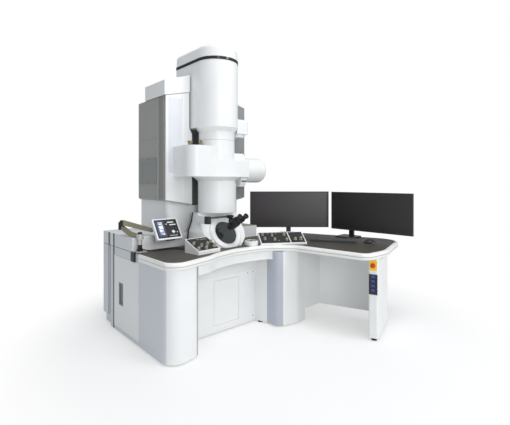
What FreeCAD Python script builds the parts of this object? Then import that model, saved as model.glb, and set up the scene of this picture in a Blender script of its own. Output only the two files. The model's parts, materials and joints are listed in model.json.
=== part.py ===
import FreeCAD, Part
import math
import os
import Sketcher

# Transmission electron microscope with its L-shaped operator's desk.
# Millimetres. The origin is on the floor under the column axis, +Z is up,
# and the operator sits on the -Y side.

doc = FreeCAD.newDocument("microscope")
sheet = doc.addObject("Spreadsheet::Sheet", "Sizes")
cells = []


class Size:
    """A size that keeps its number beside the sheet formula it comes from."""

    def __init__(self, number, text):
        self.number = float(number)
        self.text = text

    def __float__(self):
        return self.number

    def __neg__(self):
        return Size(-self.number, "(-%s)" % self.text)

    def __add__(self, other):
        other = as_size(other)
        return Size(self.number + other.number, "(%s + %s)" % (self.text, other.text))

    def __sub__(self, other):
        other = as_size(other)
        return Size(self.number - other.number, "(%s - %s)" % (self.text, other.text))

    def __mul__(self, other):
        other = as_size(other)
        return Size(self.number * other.number, "(%s * %s)" % (self.text, other.text))

    def __truediv__(self, other):
        other = as_size(other)
        return Size(self.number / other.number, "(%s / %s)" % (self.text, other.text))

    def __rsub__(self, other):
        return as_size(other) - self

    __radd__ = __add__
    __rmul__ = __mul__


def as_size(value):
    """A plain number becomes a size whose formula is that number."""
    return value if isinstance(value, Size) else Size(value, "(%r)" % float(value))


def size(alias, number):
    """Write one driving dimension into the sheet and return it."""
    cells.append(alias)
    cell = "A%d" % len(cells)
    sheet.set(cell, repr(number))
    sheet.setAlias(cell, alias)
    return Size(number, "Sizes." + alias)


def cosine(angle):
    return Size(math.cos(math.radians(angle.number)), "cos(%s * 1 deg)" % angle.text)


def sine(angle):
    return Size(math.sin(math.radians(angle.number)), "sin(%s * 1 deg)" % angle.text)


# Driving dimensions: clearances
seat = size("seat", 0.3)
run_gap = size("run_gap", 0.05)
door_gap = size("door_gap", 2)

# Driving dimensions: levels of the desk
floor_gap = size("floor_gap", 12)
desk_top = size("desk_top", 710)
mat_thickness = size("mat_thickness", 6)
slab_thickness = size("slab_thickness", 48)
shelf_height = size("shelf_height", 111)
edge_width = size("edge_width", 28)
edge_round = size("edge_round", 20)

# Driving dimensions: outline of the mat, as distances from the column axis
left_reach = size("left_reach", 725)
mat_inset = size("mat_inset", 10)
shelf_front = size("shelf_front", 127)
shelf_depth = size("shelf_depth", 49)
front_left_y = size("front_left_y", 477)
front_left_round = size("front_left_round", 100)
swell_x = size("swell_x", 352)
swell_y = size("swell_y", 389)
waist_x = size("waist_x", 252)
waist_y = size("waist_y", 336)
bay_x = size("bay_x", 30)
bay_y = size("bay_y", 281)
elbow_x = size("elbow_x", 286)
elbow_y = size("elbow_y", 322)
bend_x = size("bend_x", 486)
bend_y = size("bend_y", 512)
tip_x = size("tip_x", 586)
tip_y = size("tip_y", 1136)
toe_x = size("toe_x", 830)
toe_y = size("toe_y", 1150)
end_x = size("end_x", 1440)
end_y = size("end_y", 955)
rear_x = size("rear_x", 1116)
rear_y = size("rear_y", 85)
notch_x = size("notch_x", 898)

# Driving dimensions: base, pedestals and panels under the desk
plinth_half = size("plinth_half", 330)
plinth_height = size("plinth_height", 60)
leg_right = size("leg_right", 468)
leg_front = size("leg_front", 474)
leg_nose_x = size("leg_nose_x", 507)
leg_nose_y = size("leg_nose_y", 433)
leg_heel_y = size("leg_heel_y", 412)
leg_round = size("leg_round", 105)
cabinet_wall = size("cabinet_wall", 25)
cabinet_front = size("cabinet_front", 10)
cabinet_rear = size("cabinet_rear", 567)
slot_width = size("slot_width", 54)
slot_depth = size("slot_depth", 30)
rear_cabinet_depth = size("rear_cabinet_depth", 115)
toe_kick = size("toe_kick", 84)
door_thickness = size("door_thickness", 18)
service_door_length = size("service_door_length", 476)
service_door_sill = size("service_door_sill", 40)
service_door_head = size("service_door_head", 640)
panel_front = size("panel_front", 179)
panel_thickness = size("panel_thickness", 18)
panel_seam_z = size("panel_seam_z", 480)
seam = size("seam", 1.5)
access_left = size("access_left", 156)
access_width = size("access_width", 261)
access_sill = size("access_sill", 72)
access_height = size("access_height", 365)
access_thickness = size("access_thickness", 10)
access_ledge = size("access_ledge", 14)
apron_height = size("apron_height", 72)
apron_thickness = size("apron_thickness", 14)
pillar_left = size("pillar_left", 334)
pillar_top_left = size("pillar_top_left", 300)
pillar_corner_y = size("pillar_corner_y", 418)
pillar_corner_round = size("pillar_corner_round", 60)
pillar_face_x = size("pillar_face_x", 400)
pillar_face_y = size("pillar_face_y", 452)
pillar_nose_x = size("pillar_nose_x", 533)
pillar_nose_y = size("pillar_nose_y", 482)
pillar_end_x = size("pillar_end_x", 634)
pillar_end_y = size("pillar_end_y", 463)
pillar_right = size("pillar_right", 660)
accent_top_y = size("accent_top_y", 297)
accent_end_x = size("accent_end_x", 387)
accent_thickness = size("accent_thickness", 14)
modesty_y = size("modesty_y", 461)
modesty_corner_x = size("modesty_corner_x", 873)
modesty_raise = size("modesty_raise", 106)
modesty_thickness = size("modesty_thickness", 14)
foot_radius = size("foot_radius", 22)
foot_disc = size("foot_disc", 7)
foot_stem = size("foot_stem", 8)

# Driving dimensions: right wing, in lengths along and across the wing
wing_turn = size("wing_turn", 70)
right_leg_u = size("right_leg_u", 1262)
right_leg_width = size("right_leg_width", 74)
right_leg_v = size("right_leg_v", 275)
right_leg_depth = size("right_leg_depth", 480)
right_leg_raise = size("right_leg_raise", 24)
right_leg_round = size("right_leg_round", 14)

# Driving dimensions: stop button and switches on the right leg
stop_plate_width = size("stop_plate_width", 58)
stop_plate_height = size("stop_plate_height", 81)
stop_plate_z = size("stop_plate_z", 561)
plate_thickness = size("plate_thickness", 4)
stop_radius = size("stop_radius", 19)
stop_stem = size("stop_stem", 8)
stop_travel = size("stop_travel", 6)
switch_plate_width = size("switch_plate_width", 66)
switch_plate_height = size("switch_plate_height", 159)
switch_plate_z = size("switch_plate_z", 371)
switch_width = size("switch_width", 26)
switch_height = size("switch_height", 20)
switch_pitch = size("switch_pitch", 36)
switch_first_z = size("switch_first_z", 514)
switch_proud = size("switch_proud", 6)

# Driving dimensions: tower behind the column
lower_half = size("lower_half", 394)
lower_front = size("lower_front", 180)
lower_depth = size("lower_depth", 490)
lower_round = size("lower_round", 40)
upper_half = size("upper_half", 425)
upper_front = size("upper_front", 142)
upper_depth = size("upper_depth", 502)
upper_bottom = size("upper_bottom", 1103)
belly_z = size("belly_z", 1052)
belly_half = size("belly_half", 158)
upper_roof = size("upper_roof", 1997)
ridge_z = size("ridge_z", 2056)
ridge_half = size("ridge_half", 182)
skin = size("skin", 12)
front_skin = size("front_skin", 14)
side_margin = size("side_margin", 8)
cap_left = size("cap_left", 445)
cap_right = size("cap_right", 222)
cap_eave = size("cap_eave", 2118)
cap_top = size("cap_top", 2205)
cap_depth = size("cap_depth", 470)
cap_corner = size("cap_corner", 110)
unit_front = size("unit_front", 283)
unit_width = size("unit_width", 336)
unit_sill = size("unit_sill", 1243)
unit_height = size("unit_height", 230)
unit_thickness = size("unit_thickness", 8)

# Driving dimensions: column
gun_radius = size("gun_radius", 187)
gun_bottom = size("gun_bottom", 1732)
gun_top = size("gun_top", 2298)
gun_back = size("gun_back", 376.7)
ring_height = size("ring_height", 25)
ring_proud = size("ring_proud", 3)
gun_cap_height = size("gun_cap_height", 105)
gun_cap_round = size("gun_cap_round", 34)
channel_gap = size("channel_gap", 14)
mid_radius = size("mid_radius", 158)
mid_top = size("mid_top", 1697)
mid_seam_z = size("mid_seam_z", 1621)
seam_depth = size("seam_depth", 2)
port_reach = size("port_reach", 314)
port_half = size("port_half", 80)
port_sill = size("port_sill", 1700)
port_height = size("port_height", 132)
port_round = size("port_round", 30)
port_boss_radius = size("port_boss_radius", 58)
port_boss_height = size("port_boss_height", 28)
port_boss_x = size("port_boss_x", 238)
drum_left = size("drum_left", 360)
drum_right = size("drum_right", 176)
drum_round = size("drum_round", 96)
drum_bottom = size("drum_bottom", 1307)
drum_top = size("drum_top", 1562)
stage_front = size("stage_front", 160)
stage_right = size("stage_right", 245)
stage_shoulder = size("stage_shoulder", 1451)
stage_top = size("stage_top", 1518)
stage_step = size("stage_step", 78)
stage_round = size("stage_round", 24)
taper_height = size("taper_height", 37)
taper_radius = size("taper_radius", 214)
cover_axis_y = size("cover_axis_y", -31)
cover_axis_z = size("cover_axis_z", 1369)
flange_radius = size("flange_radius", 122)
flange_length = size("flange_length", 12)
cover_radius = size("cover_radius", 114)
cover_length = size("cover_length", 236)
cover_wall = size("cover_wall", 5)
cover_round = size("cover_round", 44)
sleeve_radius = size("sleeve_radius", 46)
sleeve_length = size("sleeve_length", 70)
bracket_length = size("bracket_length", 62)
bracket_height = size("bracket_height", 88)
bracket_width = size("bracket_width", 150)
lower_radius = size("lower_radius", 166)
lower_cover_proud = size("lower_cover_proud", 6)
chamber_top = size("chamber_top", 996)
chamber_neck = size("chamber_neck", 206)
chamber_belly = size("chamber_belly", 252)
chamber_base = size("chamber_base", 230)
window_y = size("window_y", -142)
window_z = size("window_z", 830)
window_tilt = size("window_tilt", 57)
window_ring_radius = size("window_ring_radius", 155)
window_radius = size("window_radius", 106)
window_ring_thickness = size("window_ring_thickness", 22)
glass_thickness = size("glass_thickness", 10)

# Driving dimensions: binocular
rail_y = size("rail_y", -186)
rail_z = size("rail_z", 968)
rail_radius = size("rail_radius", 7)
rail_left = size("rail_left", 200)
rail_right = size("rail_right", 44)
rail_block_height = size("rail_block_height", 62)
rail_block_width = size("rail_block_width", 34)
lug_radius = size("lug_radius", 14)
lug_half = size("lug_half", 26)
scope_tilt = size("scope_tilt", 30)
scope_radius = size("scope_radius", 40)
scope_length = size("scope_length", 96)
scope_neck = size("scope_neck", 30)
prism_width = size("prism_width", 98)
prism_length = size("prism_length", 44)
prism_height = size("prism_height", 46)
eye_pitch = size("eye_pitch", 64)
eye_radius = size("eye_radius", 17)
eye_length = size("eye_length", 46)
eye_stem = size("eye_stem", 13)

# Driving dimensions: touch-panel arm
post_x = size("post_x", -676)
post_y = size("post_y", 92)
post_radius = size("post_radius", 17)
post_top = size("post_top", 872)
collar_z = size("collar_z", 812)
collar_height = size("collar_height", 40)
collar_radius = size("collar_radius", 27)
clamp_width = size("clamp_width", 64)
clamp_plate = size("clamp_plate", 8)
clamp_depth = size("clamp_depth", 66)
elbow_dx = size("elbow_dx", -58)
elbow_dy = size("elbow_dy", 222)
knuckle_radius = size("knuckle_radius", 24)
knuckle_height = size("knuckle_height", 30)
elbow_z = size("elbow_z", 872)
arm_width = size("arm_width", 34)
arm_depth = size("arm_depth", 30)
panel_x = size("panel_x", -459)
panel_y = size("panel_y", 52)
panel_z = size("panel_z", 880)
touch_width = size("touch_width", 225)
touch_height = size("touch_height", 192)
touch_thickness = size("touch_thickness", 30)
touch_tilt = size("touch_tilt", 35)
touch_round = size("touch_round", 12)
mount_width = size("mount_width", 190)
mount_height = size("mount_height", 160)
mount_gap = size("mount_gap", 10)
head_radius = size("head_radius", 15)
head_back = size("head_back", 34)
head_up = size("head_up", 22)
head_half = size("head_half", 40)
mount_sheet_thickness = size("mount_sheet_thickness", 8)
neck_half = size("neck_half", 9)
neck_length = size("neck_length", 84)

# Driving dimensions: desk units
left_unit_x = size("left_unit_x", -408)
left_unit_y = size("left_unit_y", -328)
left_unit_turn = size("left_unit_turn", 5.6)
left_unit_width = size("left_unit_width", 220)
left_unit_gap = size("left_unit_gap", 3)
right_unit_x = size("right_unit_x", 237.5)
right_unit_y = size("right_unit_y", -323.8)
right_unit_turn = size("right_unit_turn", -32)
right_unit_width = size("right_unit_width", 415)
unit_depth = size("unit_depth", 168)
left_unit_front = size("left_unit_front", 27)
right_unit_front = size("right_unit_front", 14)
unit_slope = size("unit_slope", 24.5)
unit_rim = size("unit_rim", 9)
dish_x = size("dish_x", 176)
dish_y = size("dish_y", -266)
keyboard_x = size("keyboard_x", 722)
keyboard_y = size("keyboard_y", -468)
keyboard_turn = size("keyboard_turn", -59.5)
keyboard_width = size("keyboard_width", 410)
keyboard_depth = size("keyboard_depth", 132)
mouse_x = size("mouse_x", 1010)
mouse_y = size("mouse_y", -850)
mouse_length = size("mouse_length", 108)
mouse_width = size("mouse_width", 62)
mouse_height = size("mouse_height", 34)

# Driving dimensions: monitors
screen_width = size("screen_width", 823)
screen_height = size("screen_height", 374)
screen_sill = size("screen_sill", 786)
screen_edge = size("screen_edge", 18)
screen_body = size("screen_body", 46)
left_screen_x = size("left_screen_x", 928)
left_screen_y = size("left_screen_y", -16)
left_screen_turn = size("left_screen_turn", -42)
right_screen_x = size("right_screen_x", 1211)
right_screen_y = size("right_screen_y", -791)
right_screen_turn = size("right_screen_turn", -85.9)
stand_base_width = size("stand_base_width", 200)
stand_base_depth = size("stand_base_depth", 190)
stand_base_height = size("stand_base_height", 14)
stand_neck_width = size("stand_neck_width", 48)
stand_neck_depth = size("stand_neck_depth", 26)
neck_offset = size("neck_offset", 241)
hinge_radius = size("hinge_radius", 9)

doc.recompute()

# Levels and places that follow from the driving dimensions
slab_top = desk_top - mat_thickness
slab_bottom = slab_top - slab_thickness
shelf_top = desk_top + shelf_height
left_x = -left_reach
slab_left = left_x + cabinet_wall
cabinet_right = -(lower_half + 4)
rear_y_end = cabinet_rear + slot_width + rear_cabinet_depth
shelf_back = shelf_front + shelf_depth
wing_cos = cosine(wing_turn)
wing_sin = sine(wing_turn)


def vector(point):
    return FreeCAD.Vector(float(point[0]), float(point[1]), float(point[2]))


def bind(item, path, value):
    """Tie one property to the sheet formula of a size."""
    item.setExpression(path, as_size(value).text)


def place(item, where=(0, 0, 0), turn=0, axis=(0, 0, 1), tilt=0, tilt_axis=(1, 0, 0)):
    """Turn an object by the tilt first and the turn second, and set its place."""
    rotation = FreeCAD.Rotation(FreeCAD.Vector(*axis), float(turn))
    rotation = rotation * FreeCAD.Rotation(FreeCAD.Vector(*tilt_axis), float(tilt))
    item.Placement = FreeCAD.Placement(vector(where), rotation)
    for letter, value in zip("xyz", where):
        bind(item, "Placement.Base." + letter, value)
    return item


def box(name, low, high):
    """A block between two corners."""
    item = doc.addObject("Part::Box", name)
    for side, a, b in zip(("Length", "Width", "Height"), low, high):
        bind(item, side, as_size(b) - a)
    return place(item, low)


def rod(name, start, radius, length, direction=(0, 0, 1)):
    """A round bar from its start point along a direction."""
    item = doc.addObject("Part::Cylinder", name)
    bind(item, "Radius", radius)
    bind(item, "Height", length)
    place(item, start)
    item.Placement.Rotation = FreeCAD.Rotation(FreeCAD.Vector(0, 0, 1), FreeCAD.Vector(*direction))
    for letter, value in zip("xyz", start):
        bind(item, "Placement.Base." + letter, value)
    return item


def cone(name, start, radius, far_radius, length):
    """A cone frustum that stands on its start point."""
    item = doc.addObject("Part::Cone", name)
    bind(item, "Radius1", radius)
    bind(item, "Radius2", far_radius)
    bind(item, "Height", length)
    return place(item, start)


def fuse(name, *items):
    item = doc.addObject("Part::MultiFuse", name)
    item.Shapes = list(items)
    item.Refine = True
    return item


def cut(name, base, *tools):
    """The base less its tools."""
    tool = tools[0] if len(tools) == 1 else fuse(name + "_tools", *tools)
    item = doc.addObject("Part::Cut", name)
    item.Base = base
    item.Tool = tool
    item.Refine = True
    return item


def common(name, first, second):
    item = doc.addObject("Part::Common", name)
    item.Base = first
    item.Tool = second
    item.Refine = True
    return item


def feature(name, shape):
    """A free form whose shape is worked out from the sizes."""
    item = doc.addObject("Part::Feature", name)
    item.Shape = shape
    return item


def sketch_on(body, plane, level, name):
    """A sketch on one of the body's origin planes, moved out to a level."""
    sketch = body.newObject("Sketcher::SketchObject", name)
    support = [f for f in body.Origin.OriginFeatures if f.Role == plane + "_Plane"][0]
    sketch.AttachmentSupport = [(support, "")]
    sketch.MapMode = "FlatFace"
    outward = -as_size(level) if plane == "XZ" else as_size(level)
    bind(sketch, "AttachmentOffset.Base.z", outward)
    return sketch


def draw_polygon(sketch, points):
    """Closed straight runs whose corners are each pinned to two sizes."""
    count = len(points)
    corners = [FreeCAD.Vector(float(x), float(y), 0) for x, y in points]
    for i in range(count):
        sketch.addGeometry(Part.LineSegment(corners[i], corners[(i + 1) % count]), False)
    for i in range(count):
        sketch.addConstraint(Sketcher.Constraint("Coincident", i, 2, (i + 1) % count, 1))
    for i, point in enumerate(points):
        for kind, value in zip(("DistanceX", "DistanceY"), point):
            value = as_size(value)
            row = sketch.addConstraint(Sketcher.Constraint(kind, -1, 1, i, 1, value.number))
            sketch.setExpression("Constraints[%d]" % row, value.text)


def flat(plane, point):
    """The two coordinates of a point that lie in a plane."""
    return {"XY": (point.x, point.y), "XZ": (point.x, point.z), "YZ": (point.y, point.z)}[plane]


def round_edges(body, picks, radius, name, chamfer=False):
    """Round or bevel the named edges of the body's last feature."""
    base = body.Tip
    kind = "PartDesign::Chamfer" if chamfer else "PartDesign::Fillet"
    item = body.newObject(kind, name)
    item.Base = (base, picks)
    bind(item, "Size" if chamfer else "Radius", radius)
    doc.recompute()
    return item


def edges_at(shape, plane, corners):
    """Straight edges square to a plane that stand on the given corners."""
    found = []
    for number, edge in enumerate(shape.Edges, 1):
        ends = [flat(plane, vertex.Point) for vertex in edge.Vertexes]
        if len(ends) != 2 or math.dist(ends[0], ends[1]) > 1e-4:
            continue
        if any(math.dist(ends[0], corner) < 1e-3 for corner in corners):
            found.append("Edge%d" % number)
    return found


def edges_level(shape, plane, level):
    """Edges that lie at one height above a plane."""
    index = {"XY": 2, "XZ": 1, "YZ": 0}[plane]
    found = []
    for number, edge in enumerate(shape.Edges, 1):
        box_ = edge.BoundBox
        low = (box_.XMin, box_.YMin, box_.ZMin)[index]
        high = (box_.XMax, box_.YMax, box_.ZMax)[index]
        if abs(low - float(level)) < 1e-3 and abs(high - float(level)) < 1e-3:
            found.append("Edge%d" % number)
    return found


def prism(name, plane, level, points, depth, rounds=(), top_round=None):
    """A polygon padded from a level, with rounded corners and a rounded end face."""
    body = doc.addObject("PartDesign::Body", name)
    sketch = sketch_on(body, plane, level, name + "_outline")
    draw_polygon(sketch, points)
    pad = body.newObject("PartDesign::Pad", name + "_pad")
    pad.Profile = sketch
    pad.Reversed = plane == "XZ"
    bind(pad, "Length", depth)
    doc.recompute()
    for count, (radius, corners) in enumerate(rounds):
        places = [(float(points[i][0]), float(points[i][1])) for i in corners]
        picks = edges_at(body.Shape, plane, places)
        round_edges(body, picks, radius, "%s_round_%d" % (name, count))
    if top_round is not None:
        end = float(as_size(level) + depth)
        picks = edges_level(body.Shape, plane, end)
        round_edges(body, picks, top_round, name + "_end_round")
    return body


def lathe(name, profile, rounds=()):
    """A profile of radius and height turned about the vertical axis."""
    body = doc.addObject("PartDesign::Body", name)
    sketch = sketch_on(body, "XZ", 0, name + "_profile")
    draw_polygon(sketch, profile)
    turn = body.newObject("PartDesign::Revolution", name + "_turn")
    turn.Profile = sketch
    turn.ReferenceAxis = (sketch, ["V_Axis"])
    turn.Angle = 360
    doc.recompute()
    for count, (radius, corners) in enumerate(rounds):
        picks = []
        for number, edge in enumerate(body.Shape.Edges, 1):
            if not hasattr(edge.Curve, "Radius"):
                continue
            for i in corners:
                reach, height = float(profile[i][0]), float(profile[i][1])
                if abs(edge.Curve.Radius - reach) < 1e-3 and abs(edge.Curve.Center.z - height) < 1e-3:
                    picks.append("Edge%d" % number)
        round_edges(body, picks, radius, "%s_round_%d" % (name, count))
    return body


def rounded_wire(points, radii, z):
    """Straight runs joined by tangent arcs, each arc of its corner's own radius."""
    corners = [FreeCAD.Vector(float(x), float(y), float(z)) for x, y in points]
    count = len(corners)
    starts, ends, middles = [], [], []
    for i, corner in enumerate(corners):
        back = (corners[i - 1] - corner).normalize()
        ahead = (corners[(i + 1) % count] - corner).normalize()
        half = back.getAngle(ahead) / 2
        radius = float(radii[i])
        reach = radius / math.tan(half)
        starts.append(corner + back * reach)
        ends.append(corner + ahead * reach)
        inward = (back + ahead).normalize()
        middles.append(corner + inward * (radius / math.sin(half) - radius))
    edges = []
    for i in range(count):
        if float(radii[i]) > 0:
            edges.append(Part.Arc(starts[i], middles[i], ends[i]).toShape())
        edges.append(Part.LineSegment(ends[i], starts[(i + 1) % count]).toShape())
    return Part.Wire(edges)


def slab(wire, height):
    return Part.Face(wire).extrude(FreeCAD.Vector(0, 0, float(height)))


def wing(u, v):
    """A point of the right wing, from lengths along and across it."""
    u = as_size(u)
    v = as_size(v)
    return (u * wing_cos + v * wing_sin, v * wing_cos - u * wing_sin)


nodes = []


def node(name, item):
    """Give a finished sub-part its name."""
    item.Label = name
    nodes.append(item)
    return item


# Desk top: mat, slab, moulded edge and raised shelf
mat_points = [
    (left_x + mat_inset, shelf_front),
    (left_x + mat_inset, -front_left_y),
    (-swell_x, -swell_y),
    (-waist_x, -waist_y),
    (-bay_x, -bay_y),
    (elbow_x, -elbow_y),
    (bend_x, -bend_y),
    (tip_x, -tip_y),
    (toe_x, -toe_y),
    (end_x, -end_y),
    (rear_x, -rear_y),
    (notch_x, shelf_front),
]
mat_radii = [0, front_left_round, 260, 260, 300, 170, 170, 60, 260, 165, 60, 0]
mat_wire = rounded_wire(mat_points, mat_radii, slab_bottom)


def mat_outline(height, level):
    face = slab(mat_wire, height)
    face.translate(FreeCAD.Vector(0, 0, float(level - slab_bottom)))
    return face


node("desk_mat", feature("mat", mat_outline(mat_thickness, slab_top)))
left_arm = box("slab_left", (slab_left, shelf_front, slab_bottom), (cabinet_right, rear_y_end, slab_top))
strip_arm = box("slab_strip", (cabinet_right, shelf_front, slab_bottom), (-cabinet_right, shelf_back, slab_top))
right_shelf_end = size("right_shelf_end", 596)
right_shelf_rear = size("right_shelf_rear", 670)
doc.recompute()
right_arm = box(
    "slab_right",
    (-cabinet_right, shelf_front, slab_bottom),
    (right_shelf_end, right_shelf_rear, slab_top),
)
slab_front = feature("slab_front", mat_outline(slab_thickness, slab_bottom))
side_notch = box("side_notch", (left_x, cabinet_front, slab_bottom), (slab_left, shelf_front, slab_top))
node("worktop", cut("top_slab", fuse("slab_blank", slab_front, left_arm, strip_arm, right_arm), side_notch))


def moulded_edge():
    """A rounded strip round the mat, with a groove that parts it into two bands."""
    height = float(mat_thickness + slab_thickness)
    outer = mat_wire.makeOffset2D(float(edge_width))
    body = slab(outer, height)
    low = float(slab_bottom)
    rims = []
    for edge in body.Edges:
        span = edge.BoundBox
        flat_edge = span.ZMax - span.ZMin < 1e-6
        if flat_edge and edge.CenterOfMass.y < float(shelf_front) + float(edge_width) - 1:
            rims.append(edge)
    body = body.makeFillet(float(edge_round), rims)
    groove = mat_wire.makeOffset2D(float(edge_width) + 5)
    inner = mat_wire.makeOffset2D(float(edge_width) - 3)
    ring = slab(groove, 3).cut(slab(inner, 3))
    ring.translate(FreeCAD.Vector(0, 0, height * 0.46))
    body = body.cut(ring)
    body = body.cut(slab(mat_wire, height))
    window = Part.makeBox(4000, 3000, height * 3)
    window.translate(FreeCAD.Vector(float(left_x) - 4, float(shelf_front) - 3000, low - height))
    body = body.common(window)
    behind = Part.makeBox(60, 200, height * 3)
    behind.translate(FreeCAD.Vector(float(left_x) - 20, float(cabinet_front), low - height))
    return body.cut(behind)


node("edge_moulding", feature("edge", moulded_edge()))
shelf_points = [
    (left_x, shelf_front),
    (right_shelf_end, shelf_front),
    (right_shelf_end, right_shelf_rear),
    (-cabinet_right, right_shelf_rear),
    (-cabinet_right, shelf_back),
    (cabinet_right, shelf_back),
    (cabinet_right, rear_y_end),
    (left_x, rear_y_end),
]
shelf_rise = shelf_top - slab_top
node("raised_shelf", prism("shelf", "XY", slab_top, shelf_points, shelf_rise, [(6, [0, 1])], 4))

# Under the desk: plinth, camera chamber, left pedestal and cabinets
plinth = box("plinth", (-plinth_half, -120, 0), (plinth_half, 640, plinth_height))
camera_box = box("camera_box", (-150, -110, plinth_height), (150, 105, slab_bottom - 40))
camera_neck = rod("camera_neck", (0, 0, slab_bottom - 40), 98, 40)
node("camera_chamber", fuse("camera", camera_box, camera_neck))

leg_points = [
    (left_x, cabinet_front),
    (left_x, -leg_front),
    (-leg_nose_x, -leg_nose_y),
    (-leg_right, -leg_heel_y),
    (-leg_right, panel_thickness - panel_front),
    (slab_left, panel_thickness - panel_front),
    (slab_left, cabinet_front),
]
leg_height = slab_bottom - floor_gap
leg_rounds = [(leg_round, [1]), (8, [2])]
node("left_pedestal", prism("pedestal", "XY", floor_gap, leg_points, leg_height, leg_rounds))

# The left cabinet is a shell whose outer side carries the service door
cabinet_box = box("cabinet_box", (slab_left, cabinet_front, floor_gap), (cabinet_right, cabinet_rear, slab_bottom))
cabinet_side = box("cabinet_side", (left_x, cabinet_front, floor_gap), (slab_left, cabinet_rear, slab_top))
cabinet_spine = box(
    "cabinet_spine",
    (left_x + slot_depth, cabinet_rear, floor_gap),
    (cabinet_right, cabinet_rear + slot_width, slab_bottom),
)
cabinet_blank = fuse("cabinet_blank", cabinet_box, cabinet_side, cabinet_spine)
cabinet_room = box(
    "cabinet_room",
    (slab_left, cabinet_front + cabinet_wall, floor_gap + cabinet_wall),
    (cabinet_right - cabinet_wall, cabinet_rear - cabinet_wall, slab_bottom - cabinet_wall),
)
door_front = cabinet_front + door_gap
door_rear = door_front + service_door_length
door_hole = box(
    "door_hole",
    (left_x, door_front - door_gap, service_door_sill - door_gap),
    (left_x + door_thickness + seat, door_rear + door_gap, service_door_head + door_gap),
)
door_way = box(
    "door_way",
    (left_x, cabinet_front + cabinet_wall, service_door_sill + 14),
    (slab_left, door_rear - 14, service_door_head - 25),
)
rear_front = cabinet_rear + slot_width
rear_points = [
    (left_x, floor_gap + toe_kick),
    (left_x, slab_top),
    (slab_left, slab_top),
    (slab_left, slab_bottom),
    (cabinet_right, slab_bottom),
    (cabinet_right, floor_gap),
    (slab_left, floor_gap),
    (slab_left, floor_gap + toe_kick),
]
rear_box = prism("rear_box", "XZ", rear_front, rear_points, rear_cabinet_depth)
cabinet_shell = cut("cabinet_shell", cabinet_blank, cabinet_room, door_hole, door_way)
node("left_cabinet", fuse("cabinet", cabinet_shell, rear_box))

handle_y = size("handle_y", 302)
handle_length = size("handle_length", 86)
handle_z = size("handle_z", 239)
handle_height = size("handle_height", 187)
handle_depth = size("handle_depth", 10)
handle_lip = size("handle_lip", 14)
lock_y = size("lock_y", 182)
lock_z = size("lock_z", 288)
lock_radius = size("lock_radius", 9)
doc.recompute()
door_blank = box(
    "door_blank",
    (left_x, door_front, service_door_sill),
    (left_x + door_thickness, door_rear, service_door_head),
)
handle_pocket = box(
    "handle_pocket",
    (left_x, handle_y, handle_z),
    (left_x + handle_depth, handle_y + handle_length, handle_z + handle_height),
)
lock_body = rod("lock_body", (left_x - 2, lock_y, lock_z), lock_radius, 6, (1, 0, 0))
lock_slot = box("lock_slot", (left_x - 2, lock_y - 1, lock_z - 5), (left_x, lock_y + 1, lock_z + 5))
node("service_door", cut("side_door", fuse("door_with_lock", door_blank, lock_body), handle_pocket, lock_slot))
handle_plate = box(
    "handle_plate",
    (left_x, handle_y, handle_z),
    (left_x + handle_depth, handle_y + handle_length, handle_z + handle_height),
)
handle_hollow = box(
    "handle_hollow",
    (left_x, handle_y + handle_lip, handle_z + handle_lip),
    (left_x + handle_depth - 2, handle_y + handle_length - handle_lip, handle_z + handle_height - handle_lip),
)
node("door_handle", cut("handle", handle_plate, handle_hollow))

right_box = box(
    "right_box",
    (-cabinet_right, shelf_back, floor_gap),
    (right_shelf_end, right_shelf_rear, slab_bottom),
)
node("right_cabinet", right_box)

# Front panels between the left pedestal and the pillar
panel_back = panel_thickness - panel_front
lower_panel = box("lower_panel", (-leg_right, -panel_front, floor_gap), (pillar_top_left, panel_back, slab_bottom))
panel_groove = box(
    "panel_groove",
    (-leg_right, -panel_front, panel_seam_z),
    (pillar_top_left, seam * 2 - panel_front, panel_seam_z + seam * 2),
)
access_recess = box(
    "access_recess",
    (-access_left - door_gap, -panel_front, access_sill - door_gap),
    (
        access_width - access_left + door_gap,
        access_thickness + seat - panel_front,
        access_sill + access_height + door_gap,
    ),
)
access_hole = box(
    "access_hole",
    (access_ledge - access_left, -panel_front, access_sill + access_ledge),
    (access_width - access_left - access_ledge, panel_back, access_sill + access_height - access_ledge),
)
node("front_panel", cut("front_lower", lower_panel, access_recess, access_hole, panel_groove))
node("access_door", box(
    "front_door",
    (-access_left, -panel_front, access_sill),
    (access_width - access_left, access_thickness - panel_front, access_sill + access_height),
))


def apron_band():
    """A curved band under the desk edge from the pedestal to the pillar."""
    face = Part.Face(mat_wire).cut(Part.Face(mat_wire.makeOffset2D(-float(apron_thickness))))
    body = face.extrude(FreeCAD.Vector(0, 0, float(apron_height)))
    body.translate(FreeCAD.Vector(0, 0, -float(apron_height)))
    width = float(leg_right + pillar_left)
    window = Part.makeBox(width, float(panel_front), float(apron_height) * 2)
    low = float(slab_bottom - apron_height)
    window.translate(FreeCAD.Vector(-float(leg_right), -float(panel_front) * 3, low))
    window = Part.makeBox(width, 600, float(apron_height) * 2)
    window.translate(FreeCAD.Vector(-float(leg_right), -float(panel_front) - 600, low))
    return body.common(window).Solids[0]


node("apron", feature("apron_strip", apron_band()))

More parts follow.
